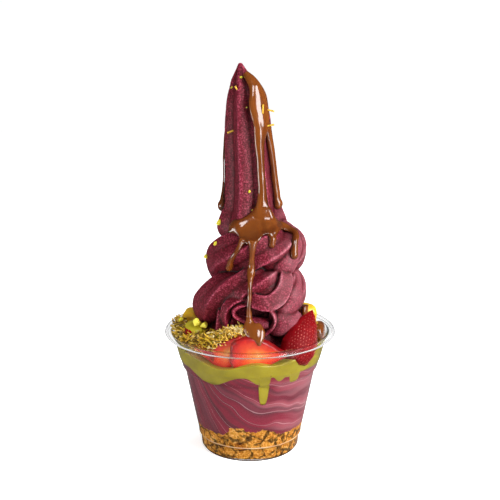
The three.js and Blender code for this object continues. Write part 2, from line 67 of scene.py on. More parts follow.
# Underside of the foot from its middle outwards: (height, radius)
CUP_UNDERSIDE = [(0.9, 0.01), (0.9, 21.5), (0.6, 22.4), (0.1, 23), (0, 23.4)]
LIP_ROOT = (63, 40.7)    # where the inside of the wall turns out into the lip: height and radius

# ---- layers ----
BITE = 0.08              # how far the food reaches into the wall
COOKIE_LEVEL = 15.4
FILLING_TOP = 54
NEAR_WALL = 26           # radius from which the layers take the shape that shows at the wall
CREAM_BOTTOM = 51.6
CREAM_TOP = 59.3

# ---- swirl ----
ROPE_FLUTES = 5
ROPE_FLUTE_DEPTH = 0.27
ROPE_TILT = 0.3          # rise of the coil towards the front
SIDE_CALM = 0.75         # share of the flutes' depth lost where the rope passes the left and right
SPIRE_FLUTES = 6
SPIRE_FLUTE_DEPTH = 0.24
SPIRE_FIRST_FLUTE = 244  # direction of one of the spire's ridges
FACE_STEPS = 8           # points along a face between a ridge and a crease
FACE_BULGE = 0.035       # how far the faces between ridges and creases swell, as a share of the radius
STATIONS_PER_TURN = 72
SPIRE_STATIONS = 110
SWIRL_VOXEL = 0.5
SWIRL_SHARE = 0.68       # share of the skin's triangles that are kept
# The coiled rope: (turns, height, coil radius, rope radius, how far its flutes have rolled up and over)
ROPE = [
    (-0.5, 58, 11, 11, -430), (-0.25, 70, 12, 11, -345), (0, 70, 15, 12, -255),
    (0.25, 72, 17.5, 12.4, -165), (0.5, 79, 19, 12.6, -75), (0.75, 89.5, 19.6, 11.2, 80),
    (0.9, 87, 18.4, 13.4, 200), (1, 88.6, 17.4, 13.4, 262), (1.25, 96, 16.4, 12.2, 362),
    (1.5, 104.5, 14.6, 12.2, 456), (1.75, 109.5, 15.4, 12.4, 532), (1.9, 109, 15.4, 13.8, 626),
    (2, 110.6, 14.6, 13.8, 689), (2.25, 117.5, 11.5, 12.6, 800), (2.45, 121, 6, 12, 880),
]
# The spire over its bell-shaped foot: (height, radius)
SPIRE = [
    (115, 13), (118, 17.6), (122.5, 19), (127.5, 18), (133, 15.8), (142, 14.4), (156, 13.2), (173, 12.4),
    (190, 10.4), (197, 8), (200, 6.2), (203.5, 3.4), (207.6, 0.9),
]
# Sideways lean of the swirl's axis: (height, x)
LEAN = [
    (75, 0), (90, 0.5), (107, 2.6), (115, 2.4), (122, 1.4), (142, 1.1), (156, 0.3), (173, -0.8),
    (190, -1.6), (197, -2.3), (203.5, -4.4), (208, -5),
]
# Neck that joins the swirl to the filling: (height, radius)
NECK = [(54, 29), (59, 29), (64, 24), (92, 20), (104, 18), (118, 14)]
# Folds at the front where the rope starts: rows of (x, y, height, width, depth), the sides of a section
# and its turn
FOLDS = [
    # band that wraps round the curled lip
    ([(5, -23, 91.5, 4, 8), (-1, -25, 91, 5, 9), (-7, -25.6, 89.6, 5.6, 10), (-11, -25.6, 86.4, 6, 10),
      (-12.6, -25, 81.6, 6, 9.6), (-12, -23.6, 76, 5, 9)], 4, 0),
    # lip curled round a hollow
    ([(4, -25, 88.4, 1.6, 6), (-1, -27, 88.3, 1.8, 8), (-5.6, -27.6, 87.4, 2, 8.6),
      (-8.2, -27.6, 85, 2.2, 8.6), (-8, -27.4, 82.4, 2.2, 8.4), (-5.4, -27.2, 80.4, 2.4, 8),
      (-1, -26.4, 79, 4, 8), (3.2, -26, 78, 5.4, 8), (9, -25.4, 76.6, 6, 7.6)], 16, 0),
    # edge of the fold at the right, and the bulge behind it
    ([(6.6, -24.6, 87, 1.6, 6), (10.4, -27, 85.2, 1.9, 8.4), (12.4, -27.6, 82, 2, 9),
      (12.6, -27.4, 78.7, 2.2, 9), (11, -27, 75.4, 2.4, 8.6), (7.6, -26.4, 72.2, 2.6, 8)], 16, 0),
    ([(10.5, -19, 76, 12, 13), (15, -19.6, 76, 16, 15), (20, -17, 76, 14, 14),
      (23.4, -12.6, 75, 11, 11)], 24, 0),
    # facets at the left
    ([(-14.6, -21, 83, 5, 7), (-14.8, -21.8, 79, 7, 9), (-15, -22.4, 73, 8, 9.6),
      (-15.2, -22.4, 66, 8, 9)], 4, 45),
    ([(-8.2, -23, 79, 4, 7), (-8.6, -23.8, 75, 6, 9), (-9, -23.8, 68, 7, 9)], 4, 30),
]

# Heavy lobes where the rope turns down at the right, and the face that hangs before them: rows of
# (angle, height, reach, width, depth), the sides of a section and its turn
LOBES = [
    ([(354, 124, 15, 7, 7), (346, 120.5, 18.8, 9.6, 9), (329, 115, 23.2, 11.4, 9.6),
      (316, 109, 24, 12.4, 9.6), (309, 103.6, 22.6, 11.4, 9), (305.5, 100.6, 21, 8, 7)], 24, 0),
    ([(342, 104, 18, 7, 7), (336, 99, 21.8, 10, 9), (331.5, 94, 24.4, 11.6, 9.6),
      (324, 89, 26.8, 12.4, 10), (316, 84.8, 26.6, 12, 10), (310, 82, 25.6, 10.5, 9.6),
      (306, 80.4, 24.2, 7, 8)], 24, 0),
    ([(266, 91.4, 26.4, 8, 7), (274, 89.6, 28, 10, 8.6), (282, 88.6, 28.8, 11.4, 9),
      (290, 88.6, 29, 12.4, 9), (298.5, 91.2, 28.8, 13, 9), (305, 96, 27.8, 12, 9),
      (308.5, 101, 25.4, 9.5, 8), (310.5, 104.4, 22.4, 6, 6)], 4, 30),
]


# ---- numbers ----
def look_up(table, at):
    """Straight-line value of the second column of a table whose first column is the position."""
    rows = np.asarray(table, float)
    return np.interp(at, rows[:, 0], rows[:, 1])


def smooth_look_up(table, at, column=1):
    """Smooth value of one column of a table whose first column is the position."""
    last = len(table) - 1
    i = 0
    while i < last - 1 and at > table[i + 1][0]:
        i += 1

    def slope(k):
        before = table[max(k - 1, 0)]
        after = table[min(k + 1, last)]
        return (after[column] - before[column]) / (after[0] - before[0])

    span = table[i + 1][0] - table[i][0]
    t = (at - table[i][0]) / span
    rise = smooth_step(t)
    return (table[i][column] * (1 - rise) + table[i + 1][column] * rise
            + t * (1 - t) ** 2 * span * slope(i) - t * t * (1 - t) * span * slope(i + 1))


def smooth_step(t):
    """Rises smoothly from 0 to 1 as t does, and stays level beyond."""
    t = np.clip(t, 0, 1)
    return t * t * (3 - 2 * t)


def bump(angle, middle, half_width, sharpness=1):
    """A smooth bump over angle: 1 at its middle and 0 beyond its half width."""
    away = np.abs((np.asarray(angle) - middle + 180) % 360 - 180)
    return smooth_step(1 - away / half_width) ** sharpness


def polar(angle, radius, height):
    """Points at an angle and radius from the cup's axis; any of the three may be arrays."""
    turn = np.radians(angle)
    return np.stack(np.broadcast_arrays(
        radius * np.cos(turn), radius * np.sin(turn), np.asarray(height, float)), axis=-1)


def leaning(angle, radius, height):
    """Points at an angle and radius from the swirl's leaning axis."""
    return polar(angle, radius, height) + np.multiply.outer(lean(height), (1, 0, 0))


def unit(vector):
    return vector / (np.linalg.norm(vector, axis=-1, keepdims=True) + 1e-12)


def lean(height):
    """How far the swirl's axis stands to the right of the cup's."""
    return look_up(LEAN, height)


def cup_inside(height):
    """Radius of the wall's inside."""
    return look_up(CUP_OUTSIDE, height) - WALL


# ---- meshes ----
class Shape:
    """Points in millimetres, faces and a shade for each point, gathered to make one mesh."""

    def __init__(self):
        self.points = []
        self.faces = []
        self.shades = []
        self.count = 0

    def add(self, points, faces, shade=0.5):
        points = np.asarray(points, float).reshape(-1, 3)
        self.points.append(points)
        self.faces.extend([self.count + int(i) for i in face] for face in faces)
        self.shades.append(np.broadcast_to(shade, len(points)))
        self.count += len(points)

    def make(self, name):
        mesh = bpy.data.meshes.new(name)
        mesh.from_pydata((np.concatenate(self.points) * MM).tolist(), [], self.faces)
        mesh.shade_smooth()
        piece = bpy.data.objects.new(name, mesh)
        bpy.context.scene.collection.objects.link(piece)
        set_shade(piece, np.concatenate(self.shades))
        return piece


def single(name, points, faces, shade=0.5):
    """A piece made of one body."""
    shape = Shape()
    shape.add(points, faces, shade)
    return shape.make(name)


def loft(rings):
    """Points and faces of a closed body through rings of equal length."""
    rings = np.asarray(rings, float)
    rows, count, _ = rings.shape
    points = rings.reshape(-1, 3)
    row = np.arange(rows - 1)[:, None] * count
    this = np.arange(count)[None, :]
    after = (this + 1) % count
    sides = np.stack([row + this, row + after, row + count + after, row + count + this], axis=-1)
    faces = sides.reshape(-1, 4).tolist()
    faces.append(list(range(count))[::-1])
    faces.append(list(range((rows - 1) * count, rows * count)))
    return points, faces


def revolve(profile, segments=48, place=polar):
    """Points and faces of a round body from (height, radius) rows, underside first."""
    angles = np.arange(segments) * 360 / segments
    return loft([place(angles, radius, height) for height, radius in profile])


def smooth_rows(rows, step):
    """Rows of numbers on a smooth curve through the given rows, about a step apart in row distance."""
    rows = np.asarray(rows, float)
    padded = np.vstack([2 * rows[0] - rows[1], rows, 2 * rows[-1] - rows[-2]])
    out = []
    for i in range(1, len(padded) - 2):
        p0, p1, p2, p3 = padded[i - 1:i + 3]
        count = max(int(np.linalg.norm((p2 - p1)[:3]) / step), 2)
        for t in np.arange(count) / count:
            out.append(0.5 * (2 * p1 + (p2 - p0) * t + (2 * p0 - 5 * p1 + 4 * p2 - p3) * t * t
                              + (3 * p1 - p0 - 3 * p2 + p3) * t ** 3))
    out.append(rows[-1])
    return np.asarray(out)


def tube(centres, widths, heights, outs, sides=12, first=0):
    """Points and faces of a soft rope: oval sections, as high as stated along the outs."""
    centres = np.asarray(centres, float)
    along = unit(np.gradient(centres, axis=0))
    across = unit(np.cross(along, outs))
    normal = unit(np.cross(across, along))
    turn = 2 * np.pi * np.arange(sides) / sides + np.radians(first)
    half_high = (np.asarray(heights, float) / 2)[:, None, None]
    half_wide = (np.asarray(widths, float) / 2)[:, None, None]
    rings = (centres[:, None, :] + half_high * np.cos(turn)[None, :, None] * normal[:, None, :]
             + half_wide * np.sin(turn)[None, :, None] * across[:, None, :])
    return loft(rings)


def bake_modifiers(piece):
    """Makes the result of a piece's modifiers its mesh."""
    graph = bpy.context.evaluated_depsgraph_get()
    mesh = bpy.data.meshes.new_from_object(piece.evaluated_get(graph))
    piece.modifiers.clear()
    old = piece.data
    piece.data = mesh
    bpy.data.meshes.remove(old)
    mesh.name = piece.name


def fuse(piece, voxel, smoothing):
    """Joins the overlapping bodies of a piece into one skin and softens it."""
    remesh = piece.modifiers.new("fuse", "REMESH")
    remesh.mode = "VOXEL"
    remesh.voxel_size = voxel * MM
    remesh.use_smooth_shade = True
    soften = piece.modifiers.new("soften", "SMOOTH")
    soften.factor = 0.5
    soften.iterations = smoothing
    bake_modifiers(piece)


def vectors_of(items, name):
    """A vector property of every item of a collection, as rows of numbers."""
    values = np.empty(len(items) * 3, np.float32)
    items.foreach_get(name, values)
    return values.reshape(-1, 3).astype(float)


def points_of(piece):
    return vectors_of(piece.data.vertices, "co") / MM


def normals_of(piece):
    return vectors_of(piece.data.vertex_normals, "vector")


def set_points(piece, points):
    piece.data.vertices.foreach_set("co", (np.asarray(points) * MM).astype(np.float32).ravel())
    piece.data.update()


def set_shade(piece, values):
    """Gives each point of a piece its shade, from 0 to 1, which its material turns into colour."""
    shade = piece.data.attributes.get("shade") or piece.data.attributes.new("shade", "FLOAT", "POINT")
    shade.data.foreach_set("value", np.clip(values, 0, 1).ravel().astype(np.float32))


def neighbour_mean(piece):
    """A function that gives each point of a piece the mean of its neighbours' values."""
    edges = np.empty(2 * len(piece.data.edges), np.int32)
    piece.data.edges.foreach_get("vertices", edges)
    first, second = edges.reshape(-1, 2).T
    count = np.bincount(edges, minlength=len(piece.data.vertices))[:, None]

    def mean(values):
        total = np.zeros_like(values)
        np.add.at(total, first, values[second])
        np.add.at(total, second, values[first])
        return total / count

    return mean


def relax(piece, share, rounds):
    """Draws each point towards its neighbours by its own share, round after round."""
    mean = neighbour_mean(piece)
    points = points_of(piece)
    for _ in range(rounds):
        points += share[:, None] * 0.6 * (mean(points) - points)
    set_points(piece, points)


def roughen(piece, layers, seed):
    """Moves each point along its normal by noise layers of (depth, size) in millimetres."""
    points = points_of(piece)
    normals = normals_of(piece)
    offset = Vector((seed * 13.7, seed * 7.3, seed * 3.1))
    moved = np.zeros(len(points))
    for depth, size in layers:
        moved += depth * np.array([noise.noise(Vector(point) / size + offset) for point in points])
    set_points(piece, points + normals * moved[:, None])


def finish(piece, material, slot, *nodes):
    """Gives a piece its material and body, and the CAD nodes it stands for."""
    piece.data.materials.clear()
    piece.data.materials.append(material)
    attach(piece, "root")
    if nodes:
        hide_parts(*nodes)
    return piece


# ---- materials ----
def screen(red, green, blue):
    """The linear colour of 8-bit screen values."""
    def linear(value):
        share = value / 255
        return share / 12.92 if share <= 0.04045 else ((share + 0.055) / 1.055) ** 2.4

    return (linear(red), linear(green), linear(blue), 1)


def grey(value):
    return (value, value, value, 1)


def tone(*values):
    """The linear colour of one grey from 0 to 1, of three screen values, or of four that are linear."""
    if len(values) == 1:
        return grey(*values)
    return screen(*values) if len(values) == 3 else values


class Nodes:
    """Short ways to add shader nodes to a material or to the surroundings."""

    def __init__(self, tree):
        self.tree = tree

    def feed(self, socket, value):
        """Links a socket to an output, or sets it to a plain value."""
        if isinstance(value, bpy.types.NodeSocket):
            self.tree.links.new(value, socket)
        else:
            socket.default_value = value

    def add(self, kind, inputs, output=0, **settings):
        """Adds a node, feeds its inputs by name or number, and gives one of its outputs."""
        node = self.tree.nodes.new("ShaderNode" + kind)
        for name, value in settings.items():
            setattr(node, name, value)
        for socket, value in inputs.items():
            self.feed(node.inputs[socket], value)
        return node.outputs[output]

    def math(self, operation, *values):
        return self.add("Math", dict(enumerate(values)), operation=operation)

    def plus(self, first, second):
        return self.math("ADD", first, second)

    def times(self, first, second):
        return self.math("MULTIPLY", first, second)

    def rays(self):
        """Outputs that tell what kind of ray meets the surface."""
        return self.add("LightPath", {}).node.outputs

    def seen_directly(self):
        """1 for rays that reach the eye straight or through clear plastic, and 0 between surfaces."""
        rays = self.rays()
        straight = self.math("MAXIMUM", rays["Is Camera Ray"], rays["Is Transmission Ray"])
        return self.times(straight, self.math("LESS_THAN", rays["Diffuse Depth"], 0.5))


class Look(Nodes):
    """A material with a Principled shader, whose patterns are sized in millimetres."""

    def __init__(self, name, constants):
        self.material = bpy.data.materials.new(name)
        self.material.use_nodes = True
        super().__init__(self.material.node_tree)
        self.shader = self.tree.nodes["Principled BSDF"]
        for socket, value in constants.items():
            self.shader.inputs[socket].default_value = value
        metres = self.add("TexCoord", {}, "Object")
        self.place = self.vector_math("MULTIPLY", metres, (1 / MM, 1 / MM, 1 / MM))

    def vector_math(self, operation, *values, output=0):
        return self.add("VectorMath", dict(enumerate(values)), output, operation=operation)

    def place_parts(self):
        """The x, y and z of a point."""
        return self.add("SeparateXYZ", {0: self.place}).node.outputs

    def noise(self, size, detail=2, vector=None, output="Fac"):
        inputs = {"Vector": vector or self.place, "Scale": 1 / size, "Detail": detail}
        return self.add("TexNoise", inputs, output)

    def cells(self, size, feature="F1", vector=None):
        inputs = {"Vector": vector or self.place, "Scale": 1 / size}
        return self.add("TexVoronoi", inputs, "Distance", feature=feature)

    def shade(self):
        """The shade that each point of the piece carries."""
        return self.add("Attribute", {}, "Fac", attribute_name="shade")

    def ramp(self, value, *stops):
        """Colour by value, through stops of a position and a tone."""
        colour = self.add("ValToRGB", {"Fac": value})
        elements = colour.node.color_ramp.elements
        while len(elements) < len(stops):
            elements.new(0.5)
        for element, (position, *values) in zip(elements, stops):
            element.position = position
            element.color = tone(*values)
        return colour

    def mix(self, share, first, second, blend="MIX"):
        inputs = {"Factor": share, "A": first, "B": second}
        return self.add("Mix", inputs, "Result", data_type="RGBA", blend_type=blend)

    def tinted(self, colour, by):
        return self.mix(1, colour, by, "MULTIPLY")

    def bump(self, height, depth, below=None):
        """Relief of that many millimetres, on top of the relief below."""
        inputs = {"Strength": 1, "Distance": depth * MM, "Height": height}
        if below is not None:
            inputs["Normal"] = below
        return self.add("Bump", inputs, "Normal")

    def done(self, colour, relief=None):
        """Feeds the shader and gives the material."""
        self.feed(self.shader.inputs["Base Color"], colour)
        if relief is not None:
            self.feed(self.shader.inputs["Normal"], relief)
        return self.material


def acai_look():
    """Matte frozen acai: icy grain and soft patches, with painted shade in the creases, painted highlights
    on the ridges and a painted pale sheen on frosty patches towards the right.
    """
    look = Look("acai", {
        "Roughness": 0.5, "Specular IOR Level": 0.24,
        "Subsurface Weight": 0.04, "Subsurface Radius": (1, 0.2, 0.25), "Subsurface Scale": 1 * MM,
        "Sheen Weight": 0.08, "Sheen Roughness": 0.4, "Sheen Tint": screen(235, 150, 160)})
    grain = look.noise(0.8)
    colour = look.ramp(grain, (0.3, 80, 7, 24), (0.5, 115, 19, 38), (0.72, 178, 68, 90))
    patches = look.ramp(look.noise(14), (0.3, 0.84), (0.7, 1))
    # painted shade darkens the creases and painted highlights brighten the ridges, by each point's shade
    crease_shade_ridge_highlight = look.ramp(look.shade(), (0.2, 80, 24, 30), (0.42, 190, 140, 150), (0.58, 1),
                      (0.84, 1.7, 2.7, 2.4, 1))
    # a pale painted sheen in noise patches that grow towards the right, where the light falls
    frost_and_painted_light_at_right = look.plus(look.times(look.place_parts()["X"], 0.02), look.noise(9))
    frost_and_sheen = look.ramp(frost_and_painted_light_at_right, (0.66, 0), (1, 0.2))
    colour = look.mix(frost_and_sheen, look.tinted(colour, patches), screen(206, 140, 150))
    relief = look.bump(look.noise(2.4), 0.1, look.bump(grain, 0.13))
    return look.done(look.tinted(colour, crease_shade_ridge_highlight), relief)


def filling_look():
    """Acai pressed against the wall: smeared folds, darker and paler, with frosty lines between them and
    pale rime patches that grow towards the right as painted light.
    """
    look = Look("acai_filling", {"Roughness": 0.35, "Specular IOR Level": 0.3})
    x, y, z = look.place_parts()
    around = look.math("ARCTAN2", x, look.times(y, -1))
    # the folds climb ever more steeply towards the left, and wander
    climb = look.times(look.math("POWER", math.e, look.times(around, -2.1)), 6.5)
    level = look.plus(look.math("SUBTRACT", z, climb), look.times(look.noise(16, 1), 9))
    smeared = look.add("CombineXYZ", {"X": look.times(around, 1.6), "Z": level})
    fold = look.noise(9, 1, smeared)
    colour = look.ramp(fold, (0.3, 92, 34, 44), (0.42, 98, 44, 54), (0.47, 136, 38, 56),
                       (0.54, 112, 38, 52), (0.6, 90, 46, 54), (0.72, 140, 54, 70))
    colour = look.tinted(colour, look.ramp(look.noise(0.7, 3), (0.35, 0.88), (0.7, 1.12)))
    # pale rime patches, made more common towards the right: partly rime and partly painted light from the
    # right
    frost_and_painted_light_at_right = look.plus(look.noise(10, 4, smeared), look.times(x, 0.006))
    rime_and_painted_light = look.ramp(frost_and_painted_light_at_right, (0.58, 0), (0.76, 0.62))
    colour = look.mix(rime_and_painted_light, colour, screen(184, 120, 128))
    near_line = look.math("ABSOLUTE", look.math("SUBTRACT", look.noise(12, 0, smeared), 0.5))
    frost_and_sheen = look.times(look.math("LESS_THAN", near_line, 0.006), look.noise(5, 3))
    return look.done(look.mix(frost_and_sheen, colour, screen(196, 150, 154)), look.bump(fold, 0.3))


def cream_look(name="pistachio_cream", dark=(134, 120, 12), light=(158, 144, 24), gloss=0.28):
    """Smooth pistachio cream, green-gold, with fine darker specks of nut."""
    look = Look(name, {"Roughness": gloss, "Subsurface Weight": 0.1,
                       "Subsurface Radius": (1, 0.8, 0.2), "Subsurface Scale": 1.5 * MM})
    colour = look.ramp(look.noise(9), (0.3, *dark), (0.7, *light))
    specks = look.ramp(look.cells(1.3), (0.02, 120, 112, 40), (0.14, 1))
    return look.done(look.mix(0.5, colour, look.tinted(colour, specks)), look.bump(look.noise(3), 0.06))


def cookie_look():
    """Dry broken cookie: golden, with open crumb and pits, painted shade in the pits and painted shadow in
    the cracks between its pieces.
    """
    look = Look("cookie", {"Roughness": 0.85, "Specular IOR Level": 0.15})
    crumb = look.noise(1.1, 5)
    baked = look.plus(look.times(look.shade(), 0.36), look.times(crumb, 0.85))
    colour = look.ramp(baked, (0.34, 120, 62, 16), (0.5, 180, 110, 30), (0.66, 214, 150, 60),
                       (0.86, 240, 190, 110))
    pits = look.cells(1.5)
    # painted shade darkens the middle of each pit
    colour = look.tinted(colour, look.ramp(pits, (0.08, 0.25), (0.2, 1)))
    bend = look.vector_math("MULTIPLY", look.noise(5, output="Color"), (7, 7, 7))
    pieces = look.cells(8, "DISTANCE_TO_EDGE", look.vector_math("ADD", look.place, bend))
    ragged = look.plus(pieces, look.times(look.noise(2.4, 3), 0.4))
    # painted shadow in the cracks between the broken pieces
    painted_crack_shadow = look.ramp(ragged, (0.2, 0.14), (0.25, 0.4), (0.31, 1))
    return look.done(look.tinted(colour, painted_crack_shadow), look.bump(crumb, 0.5, look.bump(pits, 0.35)))


def fruit_look(name, stops, grain, gloss, glow, coat=0.15, relief=0.12, shine=0.5):
    """Moist fruit whose colour runs by the shade value of its points, with soft fibres."""
    look = Look(name, {
        "Roughness": gloss, "Specular IOR Level": shine, "Coat Weight": coat, "Coat Roughness": 0.25,
        "Subsurface Weight": glow, "Subsurface Radius": (1, 0.4, 0.2), "Subsurface Scale": 2.5 * MM})
    spread = look.times(look.math("SUBTRACT", look.noise(grain, 3), 0.5), 0.35)
    colour = look.ramp(look.plus(look.shade(), spread), *stops)
    return look.done(colour, look.bump(look.noise(grain * 0.6, 3), relief))


def cut_berry_look():
    stops = [(0, 244, 176, 100), (0.26, 238, 122, 54), (0.52, 224, 72, 30), (0.82, 198, 24, 14),
             (1, 134, 6, 14)]
    return fruit_look("strawberry_cut", stops, grain=1.8, gloss=0.35, glow=0.15)


def berry_skin_look():
    stops = [(0, 84, 2, 8), (0.5, 128, 3, 12), (1, 160, 12, 20)]
    return fruit_look("strawberry_skin", stops, grain=1.2, gloss=0.3, glow=0.05, coat=0, relief=0.45,
                      shine=0.14)


def mango_look():
    stops = [(0, 200, 136, 16), (0.5, 234, 180, 24), (1, 248, 208, 52)]
    return fruit_look("mango", stops, grain=5, gloss=0.35, glow=0.15)


def seed_look():
    look = Look("strawberry_seed", {"Roughness": 0.35, "Specular IOR Level": 0.5})
    return look.done(look.ramp(look.shade(), (0, 152, 44, 44), (1, 206, 100, 84)))


def pastry_look():
    """Thin strands of dry pastry mixed with ground pistachio: gold, straw and green-gold."""
    look = Look("kataifi", {"Roughness": 0.6, "Specular IOR Level": 0.3})
    colour = look.ramp(look.shade(), (0, 70, 38, 6), (0.2, 144, 104, 8), (0.4, 212, 176, 24),
                       (0.62, 240, 186, 56), (0.82, 250, 214, 110), (1, 255, 238, 176))
    patches = look.ramp(look.noise(0.8), (0.3, 110, 78, 8), (0.7, 250, 218, 110))
    return look.done(look.mix(0.16, colour, patches))


def nut_look():
    """Chopped pistachio: yellow-green, browner where the skin clings."""
    look = Look("pistachio_nut", {"Roughness": 0.5, "Specular IOR Level": 0.3,
                                  "Subsurface Weight": 0.1, "Subsurface Scale": 1 * MM})
    ripe = look.plus(look.times(look.shade(), 0.7), look.times(look.noise(0.8, 3), 0.3))
    colour = look.ramp(ripe, (0.08, 96, 50, 14), (0.2, 160, 146, 10), (0.45, 232, 212, 14),
                       (0.85, 250, 238, 90))
    return look.done(colour, look.bump(look.noise(0.5, 3), 0.12))


def chocolate_look():
    """Very glossy sauce, with painted shade along its thin edges where it meets the swirl."""
    look = Look("chocolate", {"Roughness": 0.12, "IOR": 1.5, "Coat Weight": 0.5, "Coat Roughness": 0.05})
    # painted contact shade: darker where the sauce is thin against the swirl
    depth = look.plus(look.shade(), look.times(look.noise(7), 0.3))
    return look.done(look.ramp(depth, (0.2, 36, 14, 4), (0.45, 80, 36, 8), (0.75, 108, 52, 14),
                               (1, 126, 66, 22)))


def cup_look():
    """Clear plastic with very faint flow ripples; lamps shine through it."""
    look = Look("clear_plastic", {"Roughness": 0.03, "IOR": 1.24, "Transmission Weight": 1,
                                  "Specular IOR Level": 0.5})
    colour = look.ramp(look.noise(30, 1), (0.3, 0.97), (0.7, 1))
    material = look.done(colour, look.bump(look.noise(9), 0.02))
    clear = look.add("BsdfTransparent", {"Color": grey(0.96)})
    surface = look.add("MixShader", {"Fac": look.rays()["Is Shadow Ray"],
                                     1: look.shader.outputs["BSDF"], 2: clear})
    look.feed(look.tree.nodes["Material Output"].inputs["Surface"], surface)
    return material


def bead_highlight_look():
    """Pale rough plastic, coloured as a painted highlight line round the foot."""
    look = Look("bead_painted_highlight", {"Roughness": 0.4, "Subsurface Weight": 0.3,
                                    "Subsurface Scale": 1 * MM})
    return look.done(look.ramp(look.noise(9, 1), (0.4, 184, 142, 92), (0.6, 224, 190, 146)))


# ---- cup ----
def make_cup():
    """The clear shell: foot ring, stacking ring, flared collar and a lip rolled outwards."""
    def roll(radius, start, end):
        turns = np.radians(np.linspace(start, end, 22))
        return zip(LIP_CENTRE_HEIGHT + LIP_FLATNESS * radius * np.sin(turns),
                   LIP_CENTRE_RADIUS + radius * np.cos(turns))

    floor_corner = 0.5
    inside = [(height, radius - WALL) for height, radius in CUP_OUTSIDE
              if height > FLOOR_TOP + floor_corner]
    profile = [*CUP_UNDERSIDE, *CUP_OUTSIDE, *roll(LIP_TUBE - WALL, 188, -70), *roll(LIP_TUBE, -74, 184),
               LIP_ROOT, *reversed(inside), (FLOOR_TOP, cup_inside(FLOOR_TOP) - floor_corner),
               (FLOOR_TOP, 0.01)]
    cup = single("cup", *revolve(profile, CUP_SEGMENTS))
    finish(cup, cup_look(), "cup_clear", "cup")


def make_bead():
    """The ridge that runs round the wall at the top of the foot, coloured pale as a painted highlight."""
    angles = np.linspace(90, 450, 181)      # the ends meet at the back
    path = polar(angles, look_up(CUP_OUTSIDE, BEAD_HEIGHT), BEAD_HEIGHT)
    size = np.full(len(angles), BEAD)
    bead = single("cup_bead", *tube(path, size, size, polar(angles, 1, 0), 8))
    finish(bead, bead_highlight_look(), "cup_clear", "cup")


# ---- what lies against the wall ----
def wall_body(name, bottom, top, bite, columns=360, rows=40):
    """A body pressed against the wall between two faces whose height depends on angle and radius."""
    edge_radius = 36
    angles = np.arange(columns) * 360 / columns
    low = bottom(angles, edge_radius)
    high = top(angles, edge_radius)
    rings = []
    for share in (0.05, 0.5, 0.9):
        reach = share * cup_inside(low)
        rings.append(polar(angles, reach, bottom(angles, reach)))
    for share in np.linspace(0, 1, rows):
        height = low + (high - low) * share
        rings.append(polar(angles, cup_inside(height) + bite, height))
    for share in (0.97, 0.9, 0.8, 0.65, 0.5, 0.05):
        reach = share * cup_inside(high)
        rings.append(polar(angles, reach, top(angles, reach)))
    return single(name, *loft(rings))


# ---- cookie crumble ----
# Broken cookies standing higher than the rest: (angle, half width, rise)
COOKIE_CHUNKS = [(258, 20, 5.4), (284, 22, 4.4), (18, 24, 3), (85, 22, 5), (140, 26, 3.5)]
# Layers of broken cookie against the wall: (height, count, smallest and largest side)
COOKIE_LAYERS = [(4.2, 21, 6, 9.5), (9.6, 21, 5.5, 9), (14.4, 22, 5, 8.5), (18.2, 10, 5, 7.5)]
COOKIE_CRUMBS = 420
BISCUIT_SIZE = (4, 8.6, 9.4)
BISCUIT_ANGLE = 256.5
BISCUIT_HEIGHT = 16.2


def cookie_top(angle, radius=NEAR_WALL):
    """Height of the crumble, which rises in chunks towards the wall."""
    rise = sum(up * bump(angle, at, half_width) for at, half_width, up in COOKIE_CHUNKS)
    return COOKIE_LEVEL + rise * np.clip(radius / NEAR_WALL, 0, 1)


def make_cookie_core():
    """Crumbs packed between the broken pieces, filling the foot of the cup up to the wall."""
    core = wall_body("cookie_core", lambda angle, radius: FLOOR_TOP - BITE + 0 * angle, cookie_top,
                     BITE, columns=240)
    roughen(core, [(0.05, 1.2)], seed=3)
    return core


def crumb_lump(rng, size):
    """A broken lump: the hull of random points in a box, as points and faces."""
    body = bmesh.new()
    for _ in range(13):
        body.verts.new([rng.uniform(-0.5, 0.5) * side for side in size])
    bmesh.ops.convex_hull(body, input=body.verts)
    loose = [vertex for vertex in body.verts if not vertex.link_faces]
    bmesh.ops.delete(body, geom=loose, context="VERTS")
    bmesh.ops.subdivide_edges(body, edges=body.edges, cuts=2, use_grid_fill=True, smooth=0.25)
    offset = Vector([rng.uniform(-90, 90) for _ in range(3)])
    depth, grain = 0.09 * max(size), 0.28 * max(size)
    for vertex in body.verts:
        vertex.co += vertex.co.normalized() * (depth * noise.noise(vertex.co / grain + offset))
    body.verts.index_update()
    points = np.array([vertex.co[:] for vertex in body.verts])
    faces = [[vertex.index for vertex in face.verts] for face in body.faces]
    body.free()
    return points, faces


def turned(points, rng):
    """Points turned at random about their middle."""
    spin = Euler([rng.uniform(0, 2 * math.pi) for _ in range(3)]).to_matrix()
    return points @ np.array(spin).T


def pressed(points):
    """Points held back by the wall, so that a lump lies flat against it."""
    radius = np.hypot(points[:, 0], points[:, 1])
    limit = cup_inside(points[:, 2]) + 2 * BITE
    scale = np.minimum(1, limit / np.maximum(radius, 1e-6))
    heights = np.maximum(points[:, 2], FLOOR_TOP - BITE)
    return np.column_stack([points[:, 0] * scale, points[:, 1] * scale, heights])


